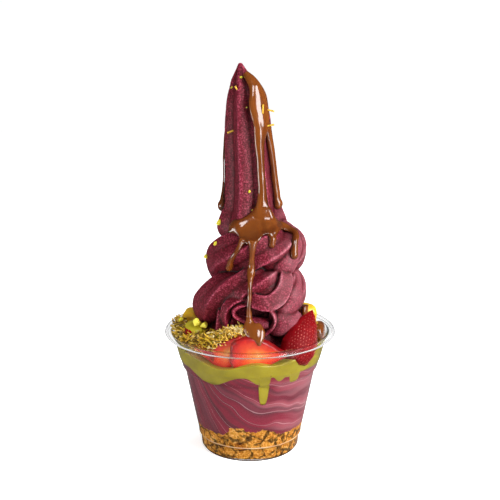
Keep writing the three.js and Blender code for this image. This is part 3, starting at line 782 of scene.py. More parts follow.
def make_cookie_pieces():
    """Broken cookies against the wall, large and small, with one square biscuit at the front."""
    rng = random.Random(11)
    shape = Shape()
    for level, count, low, high in COOKIE_LAYERS:
        for i in range(count):
            angle = (i + rng.uniform(-0.25, 0.25)) * 360 / count + level * 7
            height = level + rng.uniform(-1.2, 1.2)
            size = [rng.uniform(low, high) for _ in range(3)]
            top = float(cookie_top(angle))
            if height + min(size) * 0.35 > top:
                continue
            points, faces = crumb_lump(rng, size)
            points = turned(points, rng)
            sunk = max(size) * rng.uniform(0.2, 0.34)
            points = pressed(points + polar(angle, cup_inside(height) - sunk, height))
            points[:, 2] = np.minimum(points[:, 2], top + 0.3)
            shape.add(points, faces, rng.random())
    points, faces = loft(chunk_rings(BISCUIT_SIZE, 0.25))
    to_cup = placer(BISCUIT_ANGLE, cup_inside(BISCUIT_HEIGHT) - 1.4, BISCUIT_HEIGHT, (4, 7, 0))
    shape.add(pressed(to_cup(points)), faces, 0.7)
    return shape.make("cookie_pieces")


def make_cookie_crumbs():
    rng = random.Random(12)
    shape = Shape()
    for _ in range(COOKIE_CRUMBS):
        angle = rng.uniform(0, 360)
        height = rng.uniform(2, float(cookie_top(angle)) - 0.6)
        points, faces = crumb_lump(rng, [rng.uniform(0.8, 2.6) for _ in range(3)])
        centre = polar(angle, cup_inside(height) - rng.uniform(0.2, 1.2), height)
        shape.add(pressed(turned(points, rng) + centre), faces, rng.random())
    return shape.make("cookie_crumbs")


def make_cookies():
    look = cookie_look()
    for piece in (make_cookie_core(), make_cookie_pieces(), make_cookie_crumbs()):
        finish(piece, look, "cookie", "cookie_crumble")


# ---- filling and cream ----
def make_filling():
    filling = wall_body("acai_filling", lambda angle, radius: cookie_top(angle, radius) - 0.6,
                        lambda angle, radius: FILLING_TOP + 0 * angle, BITE)
    finish(filling, filling_look(), "acai", "acai_soft_serve")


# Drips of cream down the wall, with round ends: (angle, half width, drop)
CREAM_DRIPS = [(281.8, 4.7, 16.6), (308.6, 5.2, 5.4), (21, 4.4, 9), (119, 5, 10)]
# Waves in the edge of the cream between the drips: (angle, half width, drop, sharpness)
CREAM_RUNS = [
    (236, 28, 6.4, 1), (302, 16, 1.2, 1), (80, 30, 4, 1), (277, 11, 4, 1), (294, 5, 2.4, 0.6),
    (20, 14, 3, 1.6), (52, 20, 4, 1), (120, 16, 4, 2), (150, 22, 3, 1), (345, 18, 1.2, 1),
]
# Where fruit presses the cream down or it climbs between them: (angle, half width, rise)
CREAM_SWELLS = [(335, 40, 4), (190, 40, 2), (247, 26, -3.6), (290, 14, -1.2), (50, 40, -3)]


def cream_underside(angle, radius):
    """Height of the cream's lower face, which hangs in drips at the wall."""
    sag = sum(drop * bump(angle, at, half_width, sharpness)
              for at, half_width, drop, sharpness in CREAM_RUNS)
    for at, half_width, drop in CREAM_DRIPS:
        away = np.abs((angle - at + 180) % 360 - 180) / half_width
        sag = np.maximum(sag, drop * np.sqrt(np.clip(1 - away ** 4, 0, 1)))
    return CREAM_BOTTOM - sag * np.clip((radius - NEAR_WALL) / 10, 0, 1)


def cream_surface(angle, radius):
    """Height of the cream's upper face, which swells and dips near the wall."""
    swell = sum(rise * bump(angle, at, half_width) for at, half_width, rise in CREAM_SWELLS)
    return CREAM_TOP + swell * np.clip((radius - 20) / 15, 0, 1)


def make_cream():
    cream = wall_body("pistachio_cream", cream_underside, cream_surface, 2 * BITE,
                      columns=540, rows=30)
    finish(cream, cream_look(), "pistachio_cream", "pistachio_cream")


# ---- swirl ----
def rope_centre(turns):
    """Where the middle of the rope is after so many turns of its coil."""
    height = smooth_look_up(ROPE, turns)
    reach = smooth_look_up(ROPE, turns, 2)
    height -= ROPE_TILT * reach * math.sin(2 * math.pi * turns)
    return leaning(360 * turns, reach, height)


def fluted_ring(radius, first, flutes, depth, calm=0):
    """A star-shaped ring: slightly swollen faces between sharp ridges and deep creases.

    A calm of 1 would make it round.
    """
    corner = np.arange(2 * flutes + 1)
    corners = polar(first + corner * 180 / flutes, np.where(corner % 2 == 0, 1, 1 - depth), 0)
    share = (np.arange(FACE_STEPS) / FACE_STEPS)[None, :, None]
    ring = corners[:-1, None, :] * (1 - share) + corners[1:, None, :] * share
    ring *= 1 + FACE_BULGE * np.sin(np.pi * share)
    ring = ring.reshape(-1, 3)
    return radius * (ring * (1 - calm) + 0.97 * unit(ring) * calm)


def rope_section(turns):
    """One section of the rope, which bends with the coil and twists on its way."""
    along = unit(rope_centre(turns + 0.01) - rope_centre(turns - 0.01))
    bend = np.array(Vector((0, 0, 1)).rotation_difference(Vector(along)).to_matrix())
    first = 360 * turns - smooth_look_up(ROPE, turns, 4)
    calm = SIDE_CALM * math.cos(2 * math.pi * turns) ** 4
    ring = fluted_ring(smooth_look_up(ROPE, turns, 3), first, ROPE_FLUTES, ROPE_FLUTE_DEPTH, calm)
    return ring @ bend.T + rope_centre(turns)


def spire_section(height):
    ring = fluted_ring(smooth_look_up(SPIRE, height), SPIRE_FIRST_FLUTE, SPIRE_FLUTES, SPIRE_FLUTE_DEPTH)
    return ring + [lean(height), 0, height]


def shade_by_sharpness(piece, rounds=6, gain=1.4):
    """Sets each point's shade by how far it stands out: high on ridges and low in creases, which the
    acai's material turns into painted highlights on the ridges and painted shade in the creases.
    """
    points = points_of(piece)
    soft = points
    spread = neighbour_mean(piece)
    for _ in range(rounds):
        soft = spread(soft)
    stands_out = spread(np.einsum("ij,ij->i", points - soft, normals_of(piece))[:, None])
    set_shade(piece, 0.5 + gain * stands_out)


def add_rope(shape):
    """The coil, as short lengths of rope that overlap the ones before."""
    first, last = ROPE[0][0], ROPE[-1][0]
    turns = np.linspace(first, last, int((last - first) * STATIONS_PER_TURN) + 1)
    length = STATIONS_PER_TURN // 3
    for start in range(0, len(turns) - 1, length):
        shape.add(*loft([rope_section(turn) for turn in turns[start:start + length + 1]]))


def add_folds(shape):
    for rows, sides, turn in FOLDS:
        path = smooth_rows(rows, 0.7)
        outs = np.tile([0.0, -1, 0], (len(path), 1))
        shape.add(*tube(path[:, :3], path[:, 3], path[:, 4], outs, sides, turn))


def add_lobes(shape):
    for rows, sides, turn in LOBES:
        angles, heights, reaches, widths, depths = smooth_rows(rows, 1.5).T
        centres = leaning(angles, reaches, heights)
        shape.add(*tube(centres, widths, depths, polar(angles, 1, 0), sides, turn))


def make_swirl():
    """The neck, the spire, the coiled rope and the folds at its front, joined into one skin."""
    shape = Shape()
    shape.add(*revolve(NECK, place=leaning))
    heights = np.linspace(SPIRE[0][0], SPIRE[-1][0], SPIRE_STATIONS)
    shape.add(*loft([spire_section(height) for height in heights]))
    add_rope(shape)
    add_folds(shape)
    add_lobes(shape)
    swirl = shape.make("acai_swirl")
    fuse(swirl, SWIRL_VOXEL, smoothing=2)
    shade_by_sharpness(swirl)
    roughen(swirl, [(0.22, 6), (0.07, 1.3)], seed=1)
    swirl.modifiers.new("thin_out", "DECIMATE").ratio = SWIRL_SHARE
    bake_modifiers(swirl)
    return finish(swirl, acai_look(), "acai", "acai_soft_serve")


# ---- chocolate sauce ----
SAUCE_DEPTH = 3.4            # thickness of a wide stream
SAUCE_LIFT = 0.5             # how far the middle of a stream stands off the swirl
THINNEST_STREAM = 0.8
SKIRT_DEPTH = 2.1            # how far the skirt stands off the swirl where it is thickest
SKIRT_ZONE = (119, 142)      # heights between which the skirt and the streams are drawn smooth
# Streams down the swirl, each of which ends in a drop: rows of (angle, height, width), and a radius
# where a stream leaves the swirl
STREAMS = [
    # coat from the tip down the front
    [(292, 203, 3), (298, 200, 5.4), (301.5, 196.5, 7), (302, 192.6, 9), (300, 187.7, 11),
     (302, 182.7, 11), (303, 177.7, 9.6), (299, 172.7, 7.2), (295.5, 167.7, 5.6), (295, 160, 4.7),
     (293.5, 153, 4.4), (293.3, 144.2, 4.8), (292.3, 139.6, 6), (291, 135, 7.6), (288, 130.5, 8),
     (286, 128, 4)],
    # run down the right of the spire
    [(300, 199, 4), (311, 194.6, 7.4), (320, 189.6, 9), (330, 183, 9), (339, 174.6, 6.8), (345, 165, 5),
     (347, 157, 4.6), (347, 150, 4.6), (347, 141, 5), (347, 136.8, 6), (347, 135.4, 6)],
    # run from the back of the tip round and down the left
    [(408, 200.6, 2.4), (418, 197.4, 3.2), (440, 191.6, 3.6), (472, 185.6, 3.8), (500, 180.6, 3.9),
     (522, 174, 3.8), (533, 160, 3.8), (535, 145, 4), (537, 138, 5.6), (538, 135, 6.4),
     (538, 133.8, 6.4)],
    # drip at the right
    [(322, 125.6, 5), (329, 125, 5), (331, 123, 4.4), (326, 121.2, 4), (319.5, 119.2, 3.8),
     (316, 116, 4.1), (314.4, 113.4, 4.5), (314, 112.2, 4.6)],
    # drip at the left
    [(258, 121, 4.6), (254.5, 118, 3), (249.6, 114.4, 2.4), (243, 110.2, 2.8), (238.6, 106.6, 3.7),
     (237.2, 105.6, 3.8)],
    # long drip down the front
    [(270, 121.4, 6), (269, 119.6, 4.8), (268, 116.6, 3.6), (266.7, 112.6, 3), (265.9, 107, 3.8),
     (266.3, 103.5, 4.2), (266.8, 100.6, 3), (267.2, 97, 2.5), (268.2, 91.6, 2.4), (268.3, 87, 2.6, 28.8),
     (268.6, 83, 3, 30), (268.7, 80.6, 3.6, 31)],
    # diamond in which it spreads over the slices
    [(268.7, 82, 3, 30.4), (269, 80.4, 4.2, 31.2), (269.4, 79, 6.4, 32.2), (270.4, 77.6, 9.4, 33),
     (273, 76.2, 10.4, 34.6), (275.4, 74.6, 9.4, 36.2), (276.5, 73, 6.8, 37.6), (276.8, 71.6, 4.2, 38.5),
     (276.9, 70.7, 2.6, 39)],
    # short drip at the middle
    [(294.4, 122, 5), (293, 120.8, 4.2), (291.8, 119.2, 3.8), (291.4, 118.4, 4)],
    # coat on the face of the mango at the right
    [(352.4, 80.6, 6, 29), (351.6, 77.6, 8.6, 29.4), (351.6, 71, 8.8, 29.6), (351.6, 66, 6.6, 29.8)],
]
# Skirt in which the streams flow together below the spire: (angle, top, bottom)
SKIRT = [
    (226, 126, 124), (231, 128.6, 122.4), (238, 129.6, 122.6), (244, 129.8, 122.6), (250, 130.2, 121.4),
    (256, 131.2, 119.8), (263, 132.4, 119), (270, 134, 118.8), (276, 136, 120), (281, 137, 122.6),
    (285, 138, 123.6), (289, 138, 122), (294, 137.6, 120.2), (299, 137, 121.6), (305, 135.6, 123.6),
    (313, 131.8, 124), (322, 129.4, 123.2), (330, 127.6, 121.4), (338, 125.4, 122.4),
]


def tree_of(piece):
    """A search tree of a piece's surface, for finding where things lie on it."""
    return BVHTree.FromObject(piece, bpy.context.evaluated_depsgraph_get())


def reach_of(tree, angle, height):
    """How far a surface reaches from the leaning axis at an angle and height, or None."""
    outside = 60
    start = Vector(leaning(angle, outside, height) * MM)
    hit = tree.ray_cast(start, Vector(-polar(angle, 1, 0)), outside * MM)[0]
    return None if hit is None else float(np.linalg.norm(np.array(hit) / MM - leaning(angle, 0, height)))


def rolling(values, half, pick):
    """Each value replaced by a pick, such as the mean, of the values on both sides of it."""
    return np.array([pick(values[max(i - half, 0):i + half + 1]) for i in range(len(values))])


def stream_parts(rows, tree):
    """One stream and its drop: it lies half sunk on the swirl and hangs across its grooves."""
    angles, heights, widths, least_radii = smooth_rows([(*row, 0)[:4] for row in rows], 0.9).T
    radii = []
    for angle, height, least in zip(angles, heights, least_radii):
        found = reach_of(tree, angle, height) or radii[-1]
        radii.append(max(least, found + SAUCE_LIFT))
    radii = rolling(rolling(radii, 2, max), 3, np.mean)
    centres = leaning(angles, radii, heights)
    widths = np.maximum(widths, THINNEST_STREAM)
    depths = np.minimum(widths, SAUCE_DEPTH) + 0.6
    last = widths[-1]
    drop, faces = loft(chunk_rings((last, last, last * 1.1), softness=1, rows=14, count=20))
    stream = tube(centres, widths, depths, polar(angles, 1, 0.25), sides=14)
    return stream, (drop + centres[-1], faces)


def around_each(grid, half, pick):
    """Each value of a grid replaced by a pick, such as the mean, of the square of values around it."""
    size = 2 * half + 1
    windows = np.lib.stride_tricks.sliding_window_view(np.pad(grid, half, "edge"), (size, size))
    return pick(windows, axis=(2, 3))


def skirt_part(tree, columns=90, rows=22):
    """The sheet of sauce that lies over the swirl's shoulder between the drips, thick in its middle."""
    angles = np.linspace(SKIRT[0][0], SKIRT[-1][0], columns)
    share = 0.5 - 0.5 * np.cos(np.pi * np.linspace(0, 1, rows))
    top = np.array([smooth_look_up(SKIRT, angle) for angle in angles])
    bottom = np.array([smooth_look_up(SKIRT, angle, 2) for angle in angles])
    heights = bottom[:, None] + (top - bottom)[:, None] * share
    reach = np.array([[reach_of(tree, angle, height) for height in column]
                      for angle, column in zip(angles, heights)])
    reach = around_each(reach, 2, np.max)
    for _ in range(3):
        reach = around_each(reach, 1, np.mean)
    swell = (0.3 + 0.7 * np.sin(np.pi * share) ** 0.5) * np.minimum(1, (top - bottom)[:, None] / 4)
    around = angles[:, None] + 0 * heights
    outer = leaning(around, reach + SKIRT_DEPTH * swell, heights)
    inner = leaning(around, reach - 2, heights)
    return loft(np.concatenate([outer, inner[:, ::-1]], axis=1))


def shade_by_depth(sauce, tree):
    """Sets each point's shade by how far the sauce stands off the swirl: low at its thin edges, which the
    sauce's material paints as shade where it meets the swirl.
    """
    depths = np.array([tree.find_nearest(Vector(point * MM))[3] / MM for point in points_of(sauce)])
    set_shade(sauce, depths / SAUCE_DEPTH)


def make_sauce(swirl):
    tree = tree_of(swirl)
    shape = Shape()
    shape.add(*skirt_part(tree))
    for rows in STREAMS:
        for part in stream_parts(rows, tree):
            shape.add(*part)
    sauce = shape.make("chocolate_sauce")
    fuse(sauce, voxel=0.4, smoothing=5)
    low, high = SKIRT_ZONE
    heights = points_of(sauce)[:, 2]
    relax(sauce, smooth_step((heights - low) / 4) * smooth_step((high - heights) / 4), rounds=10)
    shade_by_depth(sauce, tree)
    return finish(sauce, chocolate_look(), "chocolate", "chocolate_sauce")


# ---- fruit ----
def placer(angle, radius, height, turn):
    """A function that turns and moves points from a food's own frame into place in the cup."""
    spin = np.array(Euler([math.radians(value) for value in turn], "XYZ").to_matrix())
    face = np.array(Matrix.Rotation(math.radians(angle), 3, "Z"))
    at = polar(angle, radius, height)
    return lambda points: np.asarray(points) @ (face @ spin).T + at


SLICE_POINTS = 72        # points round the outline of a slice
# Outline of a cut strawberry: (share of its length from the shoulders to the tip, half width)
BERRY_OUTLINE = [
    (0, 0.5), (0.07, 0.8), (0.2, 0.98), (0.36, 1), (0.55, 0.86), (0.75, 0.56), (0.9, 0.27), (1, 0.06),
]


def berry_outline(width, length):
    """Outline of a cut strawberry with broad shoulders, pointed at +Z, as its two coordinates."""
    half_count = SLICE_POINTS // 2
    share = 0.5 - 0.5 * np.cos(np.pi * (np.arange(half_count) + 0.5) / half_count)
    half = width / 2 * np.array([smooth_look_up(BERRY_OUTLINE, at) for at in share])
    height = (share - 0.5) * length
    return np.concatenate([half, -half[::-1]]), np.concatenate([height, height[::-1]])


def make_slice(name, look, length, width, thickness, seed, place):
    """A cut slice, softly rounded at its edge, shaded from its pale middle to its red rim."""
    y, z = berry_outline(width, length)
    face = (0.02, 0.2, 0.4, 0.6, 0.78)
    edge = np.radians(np.linspace(-90, 90, 9))
    rows = [(-0.5, share) for share in face]
    rows += [(0.5 * math.sin(turn), 0.9 + 0.1 * math.cos(turn)) for turn in edge]
    rows += [(0.5, share) for share in reversed(face)]
    rings = [np.column_stack([np.full(SLICE_POINTS, across * thickness), share * y, share * z])
             for across, share in rows]
    points, faces = loft(rings)
    shades = np.repeat([share for _, share in rows], SLICE_POINTS)
    piece = single(name, placer(*place)(points), faces, shades)
    roughen(piece, [(0.5, 7), (0.16, 1.6)], seed)
    finish(piece, look, "strawberry_cut", name)


# Outline of a whole strawberry: (share of its length from the shoulders to the tip, half width)
BERRY_PROFILE = [
    (0, 0.2), (0.04, 0.6), (0.12, 0.88), (0.3, 1), (0.55, 0.86), (0.8, 0.5), (0.94, 0.2), (1, 0.02),
]
CUT_BACK = -0.25         # how far behind its middle a berry is cut in half, as a share of its half width
# Seeds in a row round the berry, as a share of the fullest row, by the share of its length
SEED_CROWDING = [(0, 0.6), (0.3, 1), (0.8, 0.55), (1, 0.2)]
SEED_ROWS = 17
SEEDS_IN_ROW = 20
SEED_LENGTH = 0.95
SEED_WIDTH = 0.5
PIT_DEPTH = 0.4
PIT_RADIUS = 0.7


def half_berry_point(along, turn, length, width):
    """A point of half a strawberry: round skin on +X, a nearly flat cut behind, the tip at +Z."""
    radius = width / 2 * look_up(BERRY_PROFILE, along)
    across = radius * np.maximum(np.cos(turn), CUT_BACK)
    return np.stack(np.broadcast_arrays(across, radius * np.sin(turn), (along - 0.5) * length), axis=-1)


def seed_spots(rng, length, width):
    """Where seeds sit on the skin of half a berry, in rows that are set off from each other."""
    spots = []
    for row, along in enumerate(np.linspace(0.06, 0.95, SEED_ROWS)):
        count = max(int(SEEDS_IN_ROW * look_up(SEED_CROWDING, along)), 3)
        for i in range(count):
            turn = math.radians(-80 + 160 * (i + 0.5 * (row % 2) + rng.uniform(-0.12, 0.12)) / count)
            spots.append(half_berry_point(along + rng.uniform(-0.01, 0.01), turn, length, width))
    return np.array(spots)


def seed_body(at, out, to_cup):
    """One seed: a small drop lying on the skin, pointed towards the tip of the berry."""
    up = unit(np.array([0, 0, 1.0]) - out * out[2])
    side = np.cross(out, up)
    turn = 2 * np.pi * np.arange(8)[:, None] / 8
    rings = [at + up * share * SEED_LENGTH
             + broad * SEED_WIDTH / 2 * (np.cos(turn) * side + 0.5 * np.sin(turn) * out)
             for share, broad in ((-0.5, 0.1), (-0.38, 0.7), (-0.1, 1), (0.2, 0.75), (0.5, 0.1))]
    points, faces = loft(rings)
    return to_cup(points), faces


def make_half_berry(name, look, length, width, seed, place):
    """Half a strawberry with its seeds set in shallow pits."""
    to_cup = placer(*place)
    turn = 2 * np.pi * np.arange(96) / 96
    points, faces = loft([half_berry_point(along, turn, length, width) for along in np.linspace(0, 1, 70)])
    rng = random.Random(seed)
    spots = seed_spots(rng, length, width)
    for spot in spots:
        away = np.linalg.norm(points - spot, axis=1)
        sink = PIT_DEPTH * np.exp(-(away / PIT_RADIUS) ** 2)
        points = points - unit(points) * sink[:, None]
    # shade rises towards the tip, which points up: painted light from above
    berry = single(name, to_cup(points), faces, 0.5 + 0.3 * (points[:, 2] / length))
    finish(berry, look, "strawberry_skin", name)
    roughen(berry, [(0.3, 6), (0.08, 1)], seed)
    grains = Shape()
    for spot in spots:
        out = unit(spot)
        grains.add(*seed_body(spot - out * SEED_WIDTH / 2, out, to_cup), rng.random())
    finish(grains.make(name + "_seeds"), seed_look(), "strawberry_skin")


CHUNK_RELIEF = [(0.7, 8), (0.25, 2.5)]


def chunk_rings(size, softness, rows=40, count=72):
    """Rings of a soft-cornered block."""
    def soft(value):
        return np.sign(value) * np.abs(value) ** softness

    turn = 2 * np.pi * (np.arange(count) + 0.5) / count
    tilt = np.radians(np.linspace(-88, 88, rows))
    return np.array([np.column_stack([
        size[0] / 2 * soft(np.cos(t)) * soft(np.cos(turn)),
        size[1] / 2 * soft(np.cos(t)) * soft(np.sin(turn)),
        np.full(count, size[2] / 2 * soft(np.sin(t)))]) for t in tilt])


def make_chunk(name, look, slot, size, softness, seed, place, relief=CHUNK_RELIEF):
    """A soft-cornered chunk of food, painted paler towards its top as light from above."""
    points, faces = loft(chunk_rings(size, softness))
    # shade rises towards the top: painted light from above
    piece = single(name, placer(*place)(points), faces, 0.5 + points[:, 2] / size[2] * 0.6)
    roughen(piece, relief, seed)
    finish(piece, look, slot, name)


# Cut slices: (name, length, width, thickness, seed, place), where a place is its angle, radius, height
# and turn
SLICES = [
    ("centre", 29, 19.5, 4.6, 21, (277, 35, 64, (-95, 14, 0))),
    ("left", 25, 14, 4.6, 22, (251.6, 34.6, 65, (-38, 14, 0))),
    ("far_left", 26, 13, 4.4, 23, (219, 34.6, 61.8, (82, 38, 0))),
    ("back", 26, 18, 4.6, 24, (104, 33.6, 64, (38, 16, 0))),
]
# Chunks of mango: (name, size, softness, seed, place)
MANGO = [
    ("right", (11, 14, 22), 0.5, 26, (10, 30.6, 67.3, (0, 6, 0))),
    ("left", (12, 15, 17), 0.55, 27, (166, 32, 66, (0, -4, 0))),
    ("back", (12, 14, 13), 0.5, 28, (134, 31.5, 65.5, (0, 12, 20))),
]


def make_fruit():
    cut = cut_berry_look()
    for name, *build in SLICES:
        make_slice("strawberry_slice_" + name, cut, *build)
    skin = berry_skin_look()
    make_half_berry("strawberry_half_right", skin, 31, 22, 25, (323, 32.6, 68, (-34, 8, 0)))
    mango = mango_look()
    for name, *build in MANGO:
        make_chunk("mango_" + name, mango, "mango", *build)
    make_chunk("strawberry_wedge_left", skin, "strawberry_skin", (11, 13, 9), 0.8, 29,
               (206, 33.6, 68, (0, 10, 0)))


def make_spoonfuls():
    """The dollop of cream at the left and the pool of sauce behind the half berry."""
    # the dollop takes a lighter, glossier copy of the pistachio cream: the lighter colour is painted light
    cream_painted_lighter = cream_look("pistachio_cream_painted_lighter", (170, 156, 26), (198, 184, 48), 0.18)
    make_chunk("cream_dollop", cream_painted_lighter, "pistachio_cream", (10, 13.5, 8.6), 0.85, 31,
               (206.5, 32.4, 70, (0, 12, 0)), [(0.8, 6)])
    make_chunk("chocolate_pool", chocolate_look(), "chocolate", (7.4, 15, 10), 0.85, 32,
               (352, 37.2, 66.4, (0, 0, 0)), [(0.5, 6)])


# ---- kataifi and nuts ----
# The heap of shredded pastry, along its length: (angle, radius, height, width, thickness)
KATAIFI = [
    (176, 37.4, 69.4, 3, 4.4), (186, 37, 67, 6, 7), (198, 36.2, 65.5, 8, 9), (212, 35, 65.8, 11, 9),
    (226, 33.8, 66, 12, 9.5), (240, 32.4, 68.4, 10.5, 9.5), (252, 31.8, 71.4, 8.5, 8),
    (261, 31.8, 73.4, 6.5, 6.6), (266, 32, 74, 2.5, 3),
]
STRANDS = 1000
STRAND_STEPS = np.linspace(-0.5, 0.5, 9)[:, None]     # along a strand, as shares of its length
STRAND_ARCH = 0.25 - STRAND_STEPS ** 2                # and how a strand arches over them
# How far out the strands reach: over the lip above its height, and in the cup below: (height, radius)
LIP_HEIGHT = 66.5
REACH_OVER_LIP = 43
REACH_IN_CUP = [(54, 37.5), (63, 40.2)]


def heap_at(share):
    """Centre, width and thickness of the pastry heap at a share of its length."""
    at = share * (len(KATAIFI) - 1)
    angle, radius, height, width, thickness = (
        np.interp(at, range(len(KATAIFI)), column) for column in zip(*KATAIFI))
    return polar(angle, radius, height), polar(angle, 1, 0), width, thickness


def make_kataifi_core():
    """The inside of the heap, coloured dark as painted shade where it shows between the strands."""
    shares = np.linspace(0, 1, 40)
    centres, _, widths, thicknesses = zip(*(heap_at(share) for share in shares))
    up = np.tile([0.0, 0, 1], (len(shares), 1))
    body = tube(centres, np.array(widths) * 0.8, np.array(thicknesses) * 0.72, up, 20)
    # the low shade colours the core dark: painted shade between the strands
    core = single("kataifi_core", *body, 0.12)
    roughen(core, [(0.9, 2.5), (0.5, 1)], seed=41)
    return core


def on_heap(share, turn, depth=1):
    """A point of the heap: turn is 0 at its outer side and 90 on top, and depth 1 is its surface."""
    centre, out, width, thickness = heap_at(share)
    across = math.cos(math.radians(turn)) * width / 2 * depth
    rise = math.sin(math.radians(turn)) * thickness / 2 * depth
    return centre + out * across + [0, 0, rise]


def held_by_cup(path):
    """A strand's path kept inside the wall, or above it on the lip."""
    radius = np.hypot(path[:, 0], path[:, 1])
    heights = path[:, 2]
    limit = np.where(heights > LIP_HEIGHT, REACH_OVER_LIP, look_up(REACH_IN_CUP, heights))
    path[:, :2] *= np.minimum(1, limit / radius)[:, None]
    return path


def strand(path, width, thickness, outs, sides):
    """Points and faces of one strand."""
    count = len(path)
    return tube(path, np.full(count, width), np.full(count, thickness), np.tile(outs, (count, 1)), sides)


def make_kataifi():
    """Pastry strands lying over each other on a core painted dark as shade, golden towards the front."""
    look = pastry_look()
    finish(make_kataifi_core(), look, "kataifi", "kataifi")
    rng = random.Random(42)
    strands = Shape()
    for _ in range(STRANDS):
        share = rng.random()
        start = on_heap(share, rng.uniform(-40, 220), rng.uniform(0.68, 1.06))
        heading = unit(np.array([rng.uniform(-1, 1), rng.uniform(-1, 1), rng.uniform(-0.45, 0.45)]))
        curve = unit(np.array([rng.uniform(-1, 1) for _ in range(3)]))
        length = rng.uniform(3.5, 10)
        sag = length * rng.uniform(0.2, 1.1)
        path = start + heading * STRAND_STEPS * length + curve * STRAND_ARCH * sag
        thick = rng.uniform(0.45, 0.8)
        golden = 0.38 + 0.38 * smooth_step((share - 0.5) / 0.3)
        tint = np.clip(rng.gauss(golden, 0.3), 0, 1)
        strands.add(*strand(held_by_cup(path), thick, thick, curve, 4), tint)
    finish(strands.make("kataifi_strands"), look, "kataifi")


def nut_bit(rng, size):
    points, faces = crumb_lump(rng, [size * rng.uniform(0.6, 1.2) for _ in range(3)])
    return turned(points, rng), faces


GROUND_NUTS = 90
# Larger pieces of pistachio: (angle, radius, height, size)
NUT_PIECES = [
    (213, 33.6, 75, 4.8), (217.5, 30.6, 74.2, 4.8), (188, 37.6, 72.6, 2.8), (184, 37.8, 70.4, 2.4),
    (262, 31.6, 77.4, 2.2), (257, 32, 77, 1.8),
]
# Bits of pistachio stuck to the swirl: (angle, height, size)
NUTS_ON_SWIRL = [
    (213, 116, 2.7), (188, 107, 2.2), (271, 133.6, 1.7), (263, 143.4, 1.3), (198, 195.6, 1.4),
    (258, 200.8, 1.4), (190, 125.4, 3.4), (268, 186, 0.9),
]


def make_nuts(swirl):
    """Ground pistachio on the pastry and the swirl."""
    rng = random.Random(51)
    tree = tree_of(swirl)
    shape = Shape()
    for angle, radius, height, size in NUT_PIECES:
        points, faces = nut_bit(rng, size)
        shape.add(points + polar(angle, radius, height), faces, rng.uniform(0.6, 1))
    for angle, height, size in NUTS_ON_SWIRL:
        points, faces = nut_bit(rng, size)
        spot = leaning(angle, reach_of(tree, angle, height) + 0.2, height)
        shape.add(points + spot, faces, rng.uniform(0.6, 1))
    for _ in range(GROUND_NUTS):
        spot = on_heap(rng.uniform(0, 0.8), rng.uniform(10, 170))
        points, faces = nut_bit(rng, rng.uniform(0.5, 1.3))
        shape.add(points + spot, faces, rng.random())
    finish(shape.make("pistachio_bits"), nut_look(), "kataifi")


# Strands stuck to the swirl and the sauce: (angle, height, length, tilt from level)
STRANDS_ON_SWIRL = [
    (213, 173.6, 5.4, 20), (316, 177, 5.4, 10), (304, 185.4, 4.8, 88), (322, 184.6, 5.4, -14),
    (236, 195.4, 2.6, -60),
]
STUCK_LIFT = 0.35        # how far the middle of a strand stands off what it sticks to


def make_stuck_strands(swirl, sauce):
    """Single strands of pastry that have landed on the swirl and the sauce."""
    trees = [tree_of(swirl), tree_of(sauce)]
    rng = random.Random(52)
    shape = Shape()
    for angle, height, length, tilt in STRANDS_ON_SWIRL:
        reach = STUCK_LIFT + max(reach_of(tree, angle, height) or 0 for tree in trees)
        spot = leaning(angle, reach, height)
        out = polar(angle, 1, 0)
        heading = np.array([math.cos(math.radians(tilt)), 0, math.sin(math.radians(tilt))])
        path = spot + heading * STRAND_STEPS * length + out * STRAND_ARCH * 0.5
        shape.add(*strand(path, 0.95, 0.8, out, 6), rng.uniform(0.5, 0.64))
    finish(shape.make("stuck_strands"), pastry_look(), "kataifi")


# ---- stage ----
# The floor, from its underside to its middle: (height, radius)
FLOOR = [(-30, 1500), (-0.02, 1500), (-0.02, 400), (-0.02, 1)]
WHITE_NEAR = 60          # how far from the middle the floor starts to whiten
WHITE_FAR = 420          # and how far it is quite white
MIDDLE = (0, 0, 0.1)
# Lamps, in metres: (name, place, target, size, power, hidden from), where a lamp hidden from "glossy"
# leaves no gleam, and one hidden from "diffuse" leaves nothing else
LAMPS = [
    ("key", (0.6, -0.42, 0.4), MIDDLE, (0.3, 0.5), 5.6, ""),
    ("low_fill", (-0.4, -0.14, 0.06), (0, 0, 0.03), (0.2, 0.14), 0.75, ""),
    ("fill", (-0.5, -0.62, 0.12), MIDDLE, (0.5, 0.4), 0.7, "glossy"),
    ("front", (0.15, -0.6, 0.7), MIDDLE, (0.5, 0.25), 1, "glossy"),
    ("top", (0.1, 0.05, 0.8), MIDDLE, (0.6, 0.6), 1.6, "glossy"),
    ("rim", (0.45, 0.5, 0.35), MIDDLE, (0.3, 0.5), 2, "glossy"),
    ("strip_right", (0.2, -0.24, 0.1), MIDDLE, (0.04, 0.22), 0.34, ""),
    ("strip_left", (-0.22, -0.16, 0.1), MIDDLE, (0.012, 0.22), 0.03, "diffuse"),
    ("gleam", (0.06, -0.38, 0.46), (0, 0, 0.134), (0.16, 0.08), 0.45, "diffuse"),
]
# How bright the surroundings are as seen directly, as light on things, and as mirrored in glossy ones
SURROUND_SEEN = 1.02
SURROUND_LIGHT = 0.2
SURROUND_MIRRORED = 0.07
CAMERA_PLACE = (0, -0.512, 0.234)
CAMERA_LOOKS_DOWN = 13.64
CAMERA_LENS = 71.35


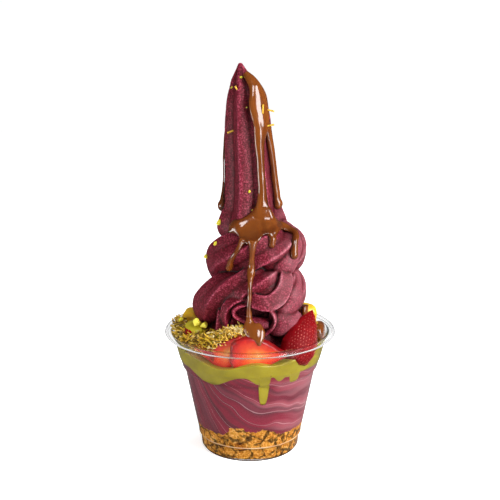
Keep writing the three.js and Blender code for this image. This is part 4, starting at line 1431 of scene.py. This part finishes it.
def floor_look():
    """A pale floor that the camera sees as white, with soft shadows."""
    look = Look("floor", {"Roughness": 0.9, "Specular IOR Level": 0.1, "Emission Color": grey(1)})
    away = look.vector_math("LENGTH", look.place, output="Value")
    white = look.add("MapRange", {"Value": away, "From Min": WHITE_NEAR, "From Max": WHITE_FAR,
                                  "To Min": 0.68, "To Max": 1})
    look.feed(look.shader.inputs["Emission Strength"], look.times(look.seen_directly(), white))
    pale = look.ramp(look.noise(60, 1), (0.4, 0.93), (0.6, 0.95))
    return look.done(look.mix(look.rays()["Is Glossy Ray"], pale, grey(0.2)))


def make_floor():
    floor = single("floor", *revolve(FLOOR, 96))
    floor.data.materials.append(floor_look())


def make_lamp(name, place, target, size, power, hidden):
    light = bpy.data.lights.new(name, "AREA")
    light.shape = "RECTANGLE"
    light.size, light.size_y = size
    light.energy = power
    lamp = bpy.data.objects.new(name, light)
    lamp.location = place
    lamp.rotation_euler = (Vector(target) - Vector(place)).to_track_quat("-Z", "Y").to_euler()
    lamp.visible_glossy = hidden != "glossy"
    lamp.visible_diffuse = hidden != "diffuse"
    bpy.context.scene.collection.objects.link(lamp)


def make_surround():
    """Surroundings that the camera sees as white, and that light the food only softly."""
    world = bpy.data.worlds.new("surround")
    world.use_nodes = True
    bpy.context.scene.world = world
    nodes = Nodes(world.node_tree)
    less_mirrored = SURROUND_MIRRORED - SURROUND_LIGHT
    light = nodes.math("MULTIPLY_ADD", nodes.rays()["Is Glossy Ray"], less_mirrored, SURROUND_LIGHT)
    more_seen = SURROUND_SEEN - SURROUND_LIGHT
    strength = nodes.math("MULTIPLY_ADD", nodes.seen_directly(), more_seen, light)
    background = nodes.tree.nodes["Background"]
    nodes.feed(background.inputs["Color"], grey(1))
    nodes.feed(background.inputs["Strength"], strength)


def make_camera():
    camera = bpy.data.objects.new("camera", bpy.data.cameras.new("camera"))
    camera.data.sensor_width = 36
    camera.data.lens = CAMERA_LENS
    camera.data.clip_start = 0.01
    camera.location = CAMERA_PLACE
    camera.rotation_euler = (math.radians(90 - CAMERA_LOOKS_DOWN), 0, 0)
    bpy.context.scene.collection.objects.link(camera)
    bpy.context.scene.camera = camera


def main():
    bpy.context.scene.view_settings.view_transform = "Standard"
    make_camera()
    for lamp in LAMPS:
        make_lamp(*lamp)
    make_surround()
    make_floor()
    make_cup()
    make_bead()
    make_cookies()
    make_filling()
    make_cream()
    swirl = make_swirl()
    sauce = make_sauce(swirl)
    make_fruit()
    make_spoonfuls()
    make_kataifi()
    make_nuts(swirl)
    make_stuck_strands(swirl, sauce)


main()
